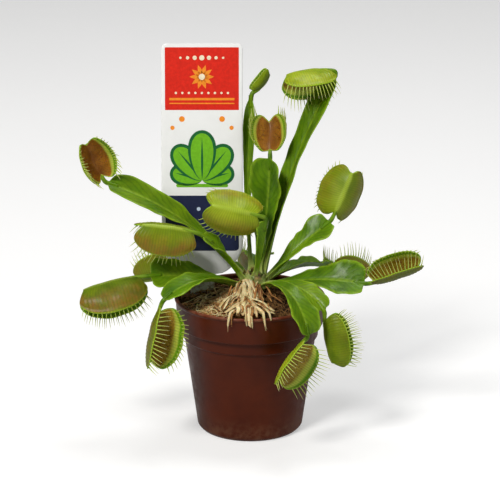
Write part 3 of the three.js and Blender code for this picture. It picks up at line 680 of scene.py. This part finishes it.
POT_PROFILE = np.array([
    [0, 0], [5.5, 0], [6.3, 1.2], [18.2, 1.2], [19, 0], [21.3, 0], [22.5, 1.4], [27.9, 40.6], [28.9, 41.1],
    [29.1, 46], [30.9, 46.5], [31.5, 56.3], [32, 56.8], [32, 57.7], [31.6, 58], [30.8, 58], [30.5, 57.4],
    [29.5, 47.2], [27.6, 45.2], [21.3, 3.6], [20.5, 2.8], [0, 2.8],
])  # fmt: skip
DRAIN_HOLES, DRAIN_RADIUS, DRAIN_CIRCLE = 6, 2.6, 12.5

# %% The pot's finish
pot_skin = Finish("pot_plastic", "pot", Specular_IOR_Level=0.16)
moulded, _ = pot_skin.mottled(16.0, 0.6, (0.055, 0.008, 0.002), (0.10, 0.016, 0.003))
_, dust = pot_skin.mottled(3.0, 1.6)
height = pot_skin.height_mm()
dirt = (height.step(12.0, 0.0) * 0.3 + height.step(56.5, 57.8) * 0.5) * dust
# The top of the lip, above 57 mm, is mixed toward a lighter red: a painted highlight along the rim.
skin = moulded.toward((0.24, 0.13, 0.07), dirt).toward((0.20, 0.05, 0.025), height.step(57.0, 57.8) * 0.6)
pot_skin.dress(skin, dust * 0.14 + 0.3, pot_skin.rough(0.5, 0.1), 0.02)


# %% Make the pot and cut its drain holes
def cut_with(target, cutters):
    """Cuts closed shapes out of a piece's mesh with a Boolean modifier, and keeps the result as plain mesh."""
    tool = in_scene("cutter", mesh_of("cutter", *joined(cutters)[:2]))
    modifier = target.modifiers.new("cut", "BOOLEAN")
    modifier.operation, modifier.solver, modifier.object = "DIFFERENCE", "EXACT", tool
    bpy.context.view_layer.update()
    done = bpy.data.meshes.new_from_object(target.evaluated_get(bpy.context.evaluated_depsgraph_get()))
    target.modifiers.clear()
    target.data = done
    bpy.data.objects.remove(tool)


pot = piece("nursery_pot", turned(eased(POT_PROFILE, 0.4), 144), pot_skin, "pot")
spots = DRAIN_CIRCLE * heading(360 / DRAIN_HOLES * (np.arange(DRAIN_HOLES) + 0.5), 0)
drill = np.array([[0, -3], [DRAIN_RADIUS, -3], [DRAIN_RADIUS, 9], [0, 9]])
cut_with(pot, [(*turned(drill, 24, spot[:2]), {}) for spot in spots])
print("pot: faces", len(pot.data.polygons))

# %% [markdown]
# ## Peat and litter
# The plug is dark brown peat with shreds of moss in it, heaped towards the middle. A displaced plane would
# leave its foot open, so the mound is a turned skin whose height is a heap plus lumps of three sizes. Crumbs
# and shreds that lie on it are many copies of one small shape, thrown with a fixed seed.

# %% The finishes of peat and litter
peat_skin = Finish("peat", "peat", Specular_IOR_Level=0.15)
earth, clouds = peat_skin.mottled(2.4, 1.3, (0.012, 0.006, 0.003), (0.085, 0.042, 0.018))
_, fibre = peat_skin.mottled(0.9, 1.5)
skin = earth.toward((0.16, 0.085, 0.035), fibre * 0.35)
peat_skin.dress(skin, clouds * -0.2 + 0.95, peat_skin.rough(0.6, 0.8), 0.5)

litter_skin = Finish("litter", "peat", Specular_IOR_Level=0.2)
brown, clouds = litter_skin.mottled(2.0, 1.2, (0.05, 0.022, 0.008), (0.20, 0.095, 0.03))
rust, _ = litter_skin.mottled(2.0, 1.2, (0.18, 0.075, 0.02), (0.44, 0.24, 0.075))
litter_skin.dress(brown.toward(rust, litter_skin.mark("tone")), clouds * 0.2 + 0.7, litter_skin.rough(0.3))

# %% The mound
MOUND_EDGE, MOUND_FOOT, MOUND_RISE, MOUND_SIDES = 29.95, 55.4, 6.6, 220


def from_middle(x, y):
    """Distance from the pot's axis as a share of MOUND_EDGE, at most 1."""
    return np.clip(np.hypot(x, y) / MOUND_EDGE, 0, 1)


def mound_height(x, y):
    """MOUND_FOOT at the wall, MOUND_RISE higher in the middle along an S, with low lumps that die out at the
    wall."""
    share = from_middle(x, y)
    lumps = np.sin(0.42 * x + 1.3) * np.cos(0.37 * y - 0.4) + 0.6 * np.sin(0.71 * (x + y))
    return MOUND_FOOT + MOUND_RISE * (1 - smooth(share)) + 0.45 * lumps * (1 - share**4)


def on_mound(x, y, lift=0.0):
    return np.stack([x, y, mound_height(x, y) + lift], -1)


rings = np.linspace(0.004, 1, 90)[::-1] * MOUND_EDGE
wall = np.array([[20.35, 3.2], [21.0, 3.8], [27.3, 45.3], [29.2, 47.3], [29.9, 54.8]])
profile = np.vstack([[0, 3.1], wall, np.stack([rings, 0 * rings], -1), [0, 0]])
points, faces = turned(profile, MOUND_SIDES)
top = np.append(np.arange(len(wall) * MOUND_SIDES, len(points) - 2), len(points) - 1)
x, y = points[top, 0], points[top, 1]
flat = np.stack([x, y, 0 * x], -1)
rough = 0.55 * ripples(flat, 3.4, 30, 5) + 0.3 * ripples(flat, 1.3, 40, 6) + 0.18 * ripples(flat, 0.7, 40, 7)
points[top, 2] = mound_height(x, y) + rough * (1 - from_middle(x, y) ** 12) - 0.2
piece("peat_mound", (points, faces), peat_skin, "growing_mix")

# %% Crumbs of peat
CRUMBS, SHREDS, SCALES, STRAYS = 900, 420, 19, 170
BARE = 7.5  # no litter lies nearer to the middle, where the crown is
random = np.random.default_rng(21)


def thrown(count, outer):
    """Random places on the mound from BARE out to a radius, evenly spread over its area."""
    radius = np.sqrt(random.uniform(BARE**2, outer**2, count))
    angle = random.uniform(0, TURN, count)
    return radius * np.cos(angle), radius * np.sin(angle)


def any_turn(count):
    """Random rotations from random unit quaternions, as matrices."""
    w, x, y, z = unit(random.normal(size=(count, 4))).T
    rows = [
        [1 - 2 * (y * y + z * z), 2 * (x * y - z * w), 2 * (x * z + y * w)],
        [2 * (x * y + z * w), 1 - 2 * (x * x + z * z), 2 * (y * z - x * w)],
        [2 * (x * z - y * w), 2 * (y * z + x * w), 1 - 2 * (x * x + y * y)],
    ]
    return np.moveaxis(np.array(rows), 2, 0)


def crumbs(count, smallest, largest):
    """Copies of one ball of four rings of seven points between two poles, each squeezed, roughened, turned
    and dropped on the mound."""
    arc = np.linspace(-np.pi / 2, np.pi / 2, 6)
    ball, faces = turned(np.stack([np.cos(arc) * (abs(arc) < 1.5), np.sin(arc)], -1), 7)
    size = mix(smallest, largest, random.random(count) ** 2.5)[:, None] * random.uniform(0.6, 1.2, (count, 3))
    shape = ball[None] * (1 + 0.22 * random.normal(size=(count, len(ball), 1))) * size[:, None]
    x, y = thrown(count, 29)
    points = np.einsum("nij,nkj->nki", any_turn(count), shape) + on_mound(x, y, 0.15)[:, None]
    tone = np.repeat(random.random(count) * 0.5, len(ball))
    return points.reshape(-1, 3), copied(faces, count, len(ball)), {"tone": tone}


piece("peat_crumbs", crumbs(CRUMBS, 0.35, 1.3), litter_skin)


# %% Shreds of moss in the peat
def shreds(count, shortest, longest, radius, x, y, bow=0.35):
    """Thin threads that lie on the mound: each leaves its place in a random direction, bows sideways as a
    cosine with a small kink, and humps up a little in the middle."""
    each = (count, 1)
    angle, length = random.uniform(0, TURN, each), random.uniform(shortest, longest, each)
    t = np.linspace(-0.5, 0.5, 9)
    curve = random.normal(0, bow, each) * np.cos(np.pi * t) * length
    curve += random.normal(0, 0.1, each) * np.sin(1.5 * TURN * t) * length
    x = x[:, None] + t * length * np.cos(angle) - curve * np.sin(angle)
    y = y[:, None] + t * length * np.sin(angle) + curve * np.cos(angle)
    inside = np.minimum(1, 29.2 / np.hypot(x, y))
    hump = random.uniform(0.2, 1.2, each) * np.cos(np.pi * t) + 0.2
    thick = radius * random.uniform(0.6, 1.3, each) * np.array([0.5, 0.8, 1, 1, 0.9, 1, 0.9, 0.7, 0.3])
    return tubes(on_mound(x * inside, y * inside, hump), thick, 5, [0.0, 0.1, 1.0], 0.6)


piece("moss_shreds", shreds(SHREDS, 3, 11, 0.2, *thrown(SHREDS, 28)), litter_skin)
print("litter: crumbs", CRUMBS, "shreds", SHREDS)

# %% [markdown]
# ## The crown
# The leaves spring from a buried rhizome whose top is wrapped in the pale feet of old leaves. A bare ball
# would look like a pea, so short pointed scales overlap all round the dome.

# %% The rhizome's dome
crown_skin = Finish("crown_scales", "crown", Subsurface_Weight=0.2, **pulpy)
pale, _ = crown_skin.mottled(3.0, 1.0, (0.10, 0.16, 0.02), (0.36, 0.42, 0.12))
aged, clouds = crown_skin.mottled(1.8, 1.8, (0.10, 0.04, 0.012), (0.46, 0.28, 0.10))
age = crown_skin.mark("along") * 0.75 + crown_skin.mark("tone")
crown_skin.dress(pale.toward(aged, age.step(0.45, 1.0)), clouds * 0.2 + 0.45, crown_skin.rough(0.4), 0.12)

lift = np.radians(np.linspace(0, 84, 12))
dome = np.stack([6.0 * np.cos(lift), 62 + 5.4 * np.sin(lift)], -1)
points, faces = turned(np.vstack([[[0, 48], [3.9, 48.1], [5.8, 53]], dome, [[0, 67.4]]]), 48, CROWN[:2])
points += unit(points - CROWN) * (0.35 * ripples(points, 3.0, seed=9) - 0.25)[:, None]
piece("rhizome", (points, faces, spread(len(points), along=1.0, tone=0.6)), crown_skin, "crown")


# %% Scales round the dome
def scales(count):
    """Pointed scales, the feet of old leaves: a sheet that starts low on the dome, runs up over it and stands
    off at its tip, as wide as a long arch, (1 - t squared) to the power 0.6, curved across like the dome."""
    k = np.arange(count)
    random = np.random.default_rng(4)
    azimuth = (137.5 * k + random.normal(0, 9, count))[:, None, None]
    t = np.linspace(0, 1, 12)[None, :, None]
    v, over = np.cos(ring_of(12)), np.sin(ring_of(12))
    lift = mix(2, 58, k / count)[:, None, None] + t * random.uniform(26, 40, (count, 1, 1))
    width = 22 * (1 - t**2) ** 0.6 + 1.5
    out = heading(azimuth + v * width * (1 + 0.5 * lift / 60), np.minimum(lift, 88))
    away = 6.0 + 2.2 * t**2 + 0.3 * over * (1.1 - t) - 0.5 * v**2 * (1 - t)
    away = away + 0.18 * np.cos(TURN * 1.5 * v) * (1 - t)
    points = CROWN + out * away[..., None]
    marks = spread(points.shape[:3], along=t, tone=random.uniform(-0.3, 0.35, (count, 1, 1)))
    return points.reshape(-1, 3), copied(capped(12, 12), count, 144), marks


piece("crown_scales", scales(SCALES), crown_skin)
print("crown: scales", SCALES)

# %% [markdown]
# ## The straw-coloured moss
# Long dry strands of moss are heaped against the crown at the front and hang over the lip. Hair particles
# could do it, but a strand is a flat twisted ribbon here, so each is a flattened tube along its own bent path,
# and all are worked out together.

# %% The moss's finish
straw_skin = Finish("dry_straw", "straw_moss", Subsurface_Weight=0.15, Subsurface_Scale=0.0008)
shade, clouds = straw_skin.mottled(3.0, 1.2, (0.18, 0.065, 0.012), (0.48, 0.22, 0.05))
light, _ = straw_skin.mottled(3.0, 1.0, (0.56, 0.38, 0.13), (0.90, 0.76, 0.44))
noise = {"Vector": straw_skin.place, "Scale": 2600.0, "Detail": 2.0}
streak = put(straw_skin.tree, "TexNoise", "Fac", noise).step(0.55, 0.75)
skin = shade.toward(light, straw_skin.mark("tone").step(0.2, 0.6)).toward((0.24, 0.12, 0.04), streak * 0.4)
straw_skin.dress(skin, clouds * 0.2 + 0.55, straw_skin.rough(0.25, 0.5), 0.12)

MOSS_AZIMUTH, MOSS_SPREAD, MOSS_INNER, MOSS_OUTER, MOSS_REACH = -93, 15, 8.6, 27.6, 33.7


def moss_height(x, y):
    """The bed that the strands lie on: the mound, banked up by 4.6 mm against the crown as a bell curve, or
    where that is lower a straight slope down to the lip. Beyond the lip it falls away."""
    radius = np.hypot(x, y)
    bank = mound_height(x, y) + 0.65 + 4.6 * np.exp(-(((radius - MOSS_INNER) / 6.5) ** 2))
    slope = 61.0 - 0.1 * (radius - MOSS_INNER)
    return np.maximum(bank, slope) - 2.6 * np.clip(radius - 32.2, 0, None)


# %% The matted heap under the strands
share = np.linspace(0, 1, 40)[:, None]
v, over = np.cos(ring_of(36)), np.sin(ring_of(36)) >= 0
radius = mix(MOSS_INNER, MOSS_OUTER, share) + 0 * v
azimuth = np.radians(MOSS_AZIMUTH + v * MOSS_SPREAD * (1 - 0.3 * np.abs(2 * share - 0.9)))
x, y = radius * np.cos(azimuth), radius * np.sin(azimuth)
bed = moss_height(x, y)
rough = 0.5 * ripples(np.stack([x, y, bed], -1), 2.0, 30, 13)
height = np.where(over, bed + 0.3 + 0.7 * (1 - v * v) + rough, mound_height(x, y) + 0.3)
points = np.stack([x, y, height], -1).reshape(-1, 3)
piece("moss_heap", (points, capped(40, 36), spread(len(points), tone=0.2)), straw_skin, "dry_moss")


# %% The strands
def strands(count, seed, widths, lengths, across, start, tones):
    """Flat ribbons that run forward from the crown: y falls steadily along the strand, x drifts and kinks as a
    sine, and the height arches up as t (1.1 - t) above the bed. Each ribbon turns slowly about its own line."""
    random = np.random.default_rng(seed)
    each = (count, 1)
    x0, y0 = random.normal(*across, each), -mix(*start, random.random(each))
    x0 = x0 * (1 - 0.5 * smooth((9 + y0) / 4))
    length = random.uniform(*lengths, each)
    t = np.linspace(0, 1, 14)[None]
    bend = random.normal(0, 0.34, each)
    kink = 0.022 * np.sin(TURN * (t * random.uniform(0.8, 2.0, each) + random.random(each)))
    x = x0 + length * (bend * t**1.15 + kink)
    y = y0 - length * t * np.sqrt(1 - np.minimum(0.6, np.abs(bend)) ** 2)
    over = np.maximum(1, np.hypot(x, y) / MOSS_REACH)
    x, y = x / over, y / over
    lift = random.uniform(0.2, 2.0, each) * 4 * t * (1.1 - t) + random.uniform(0.1, 1.1, each)
    path = np.stack([x, y, moss_height(x, y) + lift - 0.9 * (over - 1) * length], -1)
    thick = random.uniform(*widths, each) * np.interp(t, [0, 0.15, 0.85, 1], [0.6, 1, 0.95, 0.55])
    twist = random.uniform(0, TURN, each) + random.normal(0, 1.2, each) * t
    facing = np.stack([0.6 * np.cos(twist), 0 * twist, 1.0 + 0.4 * np.sin(twist)], -1)
    points, faces, marks = tubes(path, thick, 6, facing, 0.22)
    marks["tone"] = mix(*tones, marks["tone"])
    return points, faces, marks


THIN, BROAD = 90, 60
under = strands(THIN, 8, (0.3, 0.6), (6, 12), (-1.2, 3.2), (7.5, 23), (0.0, 0.35))
over = strands(BROAD, 31, (0.45, 1.05), (9, 20), (-1.4, 2.6), (4.5, 20), (0.4, 1.0))
piece("moss_under", under, straw_skin, "dry_moss")
piece("moss_strands", over, straw_skin, "dry_moss")
print("moss: thin strands", THIN, "broad ones", BROAD)

# %% Stray fibres to its left
reach, angle = random.uniform(11, 27, STRAYS), np.radians(random.normal(-136, 15, STRAYS))
points, faces, marks = shreds(STRAYS, 4, 13, 0.34, reach * np.cos(angle), reach * np.sin(angle), 0.5)
points[:, 2] += 0.5
piece("moss_stray", (points, faces, {"tone": 0.15 + 0.45 * marks["tone"]}), straw_skin)
print("moss: stray fibres", STRAYS)

# %% [markdown]
# ## The plant label
# A white plastic card with rounded corners narrows to a pointed stake. It could be an extruded outline. As
# rings from the point to the top edge, its rim comes out softly rounded like a punched card's. What is
# printed on it is a plain design: a warm panel with dots, a clump of broad leaves, and a dark block with
# drops and dots.

# %% The card
CARD_PLACE, CARD_LEAN = np.array([-20.3, 10.0, 73.5]), math.radians(10)
CARD_HALF, CARD_CORNER, CARD_FACE = 17.25, 2.5, 0.4  # half width, corner radius, half thickness
CARD_SIDE = 86.5  # where the straight sides end and the upper corners begin
STAKE, STAKE_HALF = [-43, -35, -9.0], [0.25, 4.5, 5.3]  # heights on the stake, and half widths there
SHOULDER, SHOULDER_END = -9.0, 2.5


def on_card(x, y, proud):
    """The card's own plane: x across, y up from the card's lower edge, proud of its middle to the front."""
    up = np.array([0, math.sin(CARD_LEAN), math.cos(CARD_LEAN)])
    front = np.array([0, -math.cos(CARD_LEAN), math.sin(CARD_LEAN)])
    x, y, proud = (a[..., None] for a in np.broadcast_arrays(x, y, proud))
    return CARD_PLACE + x * [1, 0, 0] + y * up + proud * front


def card_half_width(y):
    """Half the card's width at a height: a pointed stake, shoulders that swell as a square root, straight
    sides, and a quarter circle at each upper corner."""
    t = np.sqrt(np.clip((y - SHOULDER) / (SHOULDER_END - SHOULDER), 0, 1))
    shoulder = np.minimum(mix(STAKE_HALF[-1], CARD_HALF, t) + 3.5 * t * (1 - t), CARD_HALF)
    round_off = np.sqrt(np.clip(CARD_CORNER**2 - np.clip(y - CARD_SIDE, 0, None) ** 2, 0, None))
    body = np.where(y < SHOULDER_END, shoulder, CARD_HALF - CARD_CORNER + round_off)
    return np.where(y < SHOULDER, np.interp(y, STAKE, STAKE_HALF), body)


def card():
    """Rings from the stake's point to the top edge: across v * half width, and half the thickness to the front
    and back, rounded off at the rim as the root of 1 - v to the power 40."""
    spans = [(STAKE[0], SHOULDER - 0.01, 16), (SHOULDER, SHOULDER_END, 22), (4, CARD_SIDE, 24)]
    last = CARD_SIDE + CARD_CORNER * np.sin(np.linspace(0.12, 1, 12) * np.pi / 2)
    heights = np.concatenate([*(np.linspace(*span) for span in spans), last])[:, None]
    turn = ring_of(48, 0.5)
    v = np.sign(np.cos(turn)) * np.abs(np.cos(turn)) ** 0.5
    deep = np.sign(np.sin(turn)) * np.sqrt(1 - np.abs(v) ** 40) * CARD_FACE
    return on_card(v * card_half_width(heights), heights, deep).reshape(-1, 3), capped(len(heights), 48)


card_skin = Finish("card_white", "label", Specular_IOR_Level=0.3)
white, _ = card_skin.mottled(12.0, 0.5, (0.84, 0.85, 0.84), (0.92, 0.925, 0.92))
_, splash = card_skin.mottled(1.6, 2.0)
skin = white.toward((0.30, 0.20, 0.11), card_skin.height_mm().step(66.0, 60.0) * splash * 0.7)
card_skin.dress(skin, splash * 0.1 + 0.3, card_skin.rough(0.4, 0.1), 0.01)
piece("label_card", card(), card_skin, "plant_label")


# %% Printed shapes
def ink(name, tone):
    """A thin layer of ink: nearly one colour, with the faint unevenness of print."""
    made = Finish("ink_" + name, "label", Specular_IOR_Level=0.25)
    tone = np.array(tone)
    base, clouds = made.mottled(1.2, 0.8, tone * 0.86, np.minimum(tone * 1.1, 1))
    made.dress(base, clouds * 0.08 + 0.45)
    return made


def printed(name, outlines, colour, layer=1):
    """Flat shapes as thin plates on the card's front: each outline (x, y) is a closed ring of points, counted
    anticlockwise, carried from just inside the card to a little proud of it."""
    count, corners = outlines.shape[:2]
    levels = np.array([CARD_FACE - 0.05, CARD_FACE + 0.03 * layer])[None, :, None]
    points = on_card(outlines[:, None, :, 0], outlines[:, None, :, 1], levels)
    faces = copied(capped(2, corners), count, 2 * corners)
    piece("print_" + name, (points.reshape(-1, 3), faces), inks[colour]).data.shade_flat()


def boxes(centres, sizes, corner=0.25):
    """Rectangles with rounded corners: a quarter circle of 6 points at each corner."""
    centres, sizes = np.atleast_2d(centres)[:, None], np.atleast_2d(sizes)[:, None]
    turn = (np.arange(24) // 6 * 90 + np.arange(24) % 6 * 18) * np.pi / 180
    rim = np.stack([np.cos(turn), np.sin(turn)], -1)[None]
    quarter = np.array([[1, 1], [-1, 1], [-1, -1], [1, -1]])[np.arange(24) // 6][None]
    return centres + quarter * (sizes / 2 - corner) + rim * corner


def discs(centres, radius):
    """Rings of 28 points: centre + radius * (cos a, sin a)."""
    turn = ring_of(28)
    rim = np.stack([np.cos(turn), np.sin(turn)], -1)
    return np.atleast_2d(centres)[:, None] + np.reshape(radius, (-1, 1, 1)) * rim


def row_of(count, reach, y):
    """That many centres at one height, evenly spaced from -reach to reach."""
    return np.stack([np.linspace(-reach, reach, count), np.full(count, y)], -1)


t = np.concatenate([np.linspace(0, 1, 15), np.linspace(1, 0, 15)[1:-1]])
ALMOND = t, np.repeat([-0.5, 0.5], [15, 13]) * np.sin(np.pi * t**0.8)
t = (1 - np.cos(ring_of(40))) / 2
OVAL = t, -0.5 * np.sin(ring_of(40)) * (0.6 + 0.4 * t)


def leaves_at(outline, roots, angles, lengths, widths):
    """Flat leaves of one outline, either an almond of half width sin(pi t to the power 0.8) / 2 or an ellipse
    drawn in towards its root by 0.6 + 0.4 t: run = length * t, off = width * edge, turned by the angle."""
    t, edge = outline
    a = np.radians(np.reshape(angles, (-1, 1)))
    run, off = np.reshape(lengths, (-1, 1)) * t, np.reshape(widths, (-1, 1)) * edge
    shape = np.stack([run * np.cos(a) - off * np.sin(a), run * np.sin(a) + off * np.cos(a)], -1)
    return np.atleast_2d(roots)[:, None] + shape


# %% The printed design
INKS = {
    "red": (0.70, 0.018, 0.006),
    "orange": (0.90, 0.28, 0.02),
    "cream": (0.88, 0.78, 0.55),
    "leaf_green": (0.16, 0.47, 0.012),
    "deep_green": (0.008, 0.12, 0.03),
    "navy": (0.012, 0.018, 0.06),
    "pale_blue": (0.55, 0.66, 0.82),
}
inks = {name: ink(name, tone) for name, tone in INKS.items()}
printed("panel", boxes([0, 74.2], [31.2, 26.4]), "red")
printed("stripes", boxes([[0, 65.6], [0, 63.8]], [[27.5, 1.0], [27.5, 0.5]], 0.2), "orange", 2)
printed("dots", discs(row_of(7, 9, 83.0), [0.5, 0.7, 0.9, 1.1, 0.9, 0.7, 0.5]), "cream", 2)
printed("petals", leaves_at(ALMOND, [0, 75.0], 36 * np.arange(10), 5.2, 1.9), "orange", 2)
printed("eye", discs([0, 75.0], 1.3), "cream", 3)
printed("beads", discs(row_of(9, 11, 68.2), 0.5), "cream", 2)
ROOT = [0, 31.5]
CLUMP = [((14, 166), 14.0, 11.0), ((50, 130), 18.5, 13.0), ((90,), 21.0, 14.5)]  # angles, length, width
for k, (angles, length, width) in enumerate(CLUMP):
    face = leaves_at(OVAL, ROOT, angles, length - 1.3, width - 2.8)
    printed(f"clump_edge_{k}", leaves_at(OVAL, ROOT, angles, length, width), "deep_green", 3 * k + 1)
    printed(f"clump_face_{k}", face, "leaf_green", 3 * k + 2)
    printed(f"clump_rib_{k}", leaves_at(ALMOND, ROOT, angles, 0.86 * length, 0.9), "deep_green", 3 * k + 3)
printed("ground", boxes([0, 29.0], [22.0, 1.5], 0.7), "leaf_green")
buds = [[-12.5, 53.5], [12.5, 53.5], [-8.5, 57.2], [8.5, 57.2]]
printed("buds", discs(buds, [0.9, 0.9, 1.2, 1.2]), "orange")
printed("block", boxes([0, 12.9], [31.2, 23.6], 1.6), "navy")
drops = [[-10, 17.0], [-5, 9.0], [4, 16.5], [9.5, 8.0]]
printed("drops", leaves_at(ALMOND, drops, [90] * 4, [5, 4, 4.6, 4], [2.6, 2.1, 2.4, 2.1]), "pale_blue", 2)
specks = [[-1.5, 19.0], [10.8, 19.6], [-11.0, 5.4], [3.2, 5.0]]
printed("specks", discs(specks, [0.8, 0.6, 0.7, 0.9]), "pale_blue", 2)

# %% [markdown]
# ## Table, light and camera
# The plant stands on a plain pale sweep, lit by large soft lights as for a catalogue. The camera looks along
# +Y from 17 degrees above, as it does in the photograph.

# %% The sweep, in metres
rim = np.linspace(0, 1, 24) * np.pi / 2
floor = np.array([[0, 0], [0.3, 0], [1, 0], [1.8, 0]])
curve = np.stack([2.0 + np.sin(rim), 1 - np.cos(rim)], -1)
profile = np.vstack([floor, curve, [[3.0, 2.4], [3.01, 2.4], [3.01, -0.02], [0, -0.02]]])
points, faces = turned(profile / MM, 96)
points[:, 2] -= 0.05
sweep = in_scene("sweep", mesh_of("sweep", points, [f[:, ::-1] for f in faces]))
paper = Finish("sweep_paper", Roughness=0.9, Emission_Color=(1, 1, 1))
feed(paper.shader["Base Color"], paper.mottled(220.0, 0.4, (0.60, 0.60, 0.60), (0.63, 0.63, 0.625))[0])
feed(paper.shader["Emission Strength"], put(paper.tree, "LightPath", "Is Camera Ray") * 0.42)
sweep.data.materials.append(paper.material)
sweep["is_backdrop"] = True

# %% Lights and camera
MIDDLE = (0.0, 0.0, 0.078)


def look_at(thing, position, target=MIDDLE):
    """Puts a thing at a position, with its own -Z turned to the target and its Y as near up as it goes."""
    away = Vector(position) - Vector(target)
    thing.location = position
    thing.rotation_euler = away.to_track_quat("Z", "Y").to_euler()


def soft_light(name, position, size, power, tint=(1, 1, 1)):
    lamp = bpy.data.lights.new(name, "AREA")
    lamp.shape, lamp.size, lamp.energy, lamp.color = "DISK", size, power, tint
    look_at(in_scene(name, lamp), position)


soft_light("key", (-0.5, -0.75, 1.0), 0.35, 13.0, (1.0, 0.98, 0.95))
soft_light("fill", (0.85, -0.6, 0.4), 0.7, 1.8, (0.95, 0.98, 1.0))
soft_light("top", (0.15, 0.3, 1.1), 0.5, 5.0)
world = bpy.data.worlds.new("studio")
world.use_nodes = True
feed(world.node_tree.nodes["Background"].inputs["Color"], (1, 1, 1))
feed(world.node_tree.nodes["Background"].inputs["Strength"], 0.18)
bpy.context.scene.world = world
bpy.context.scene.view_settings.view_transform = "Standard"

camera = in_scene("camera", bpy.data.cameras.new("camera"))
camera.data.angle = math.radians(13.6)
camera.data.clip_end = 20
look_at(camera, (0.0, -0.844, 0.336))
bpy.context.scene.camera = camera
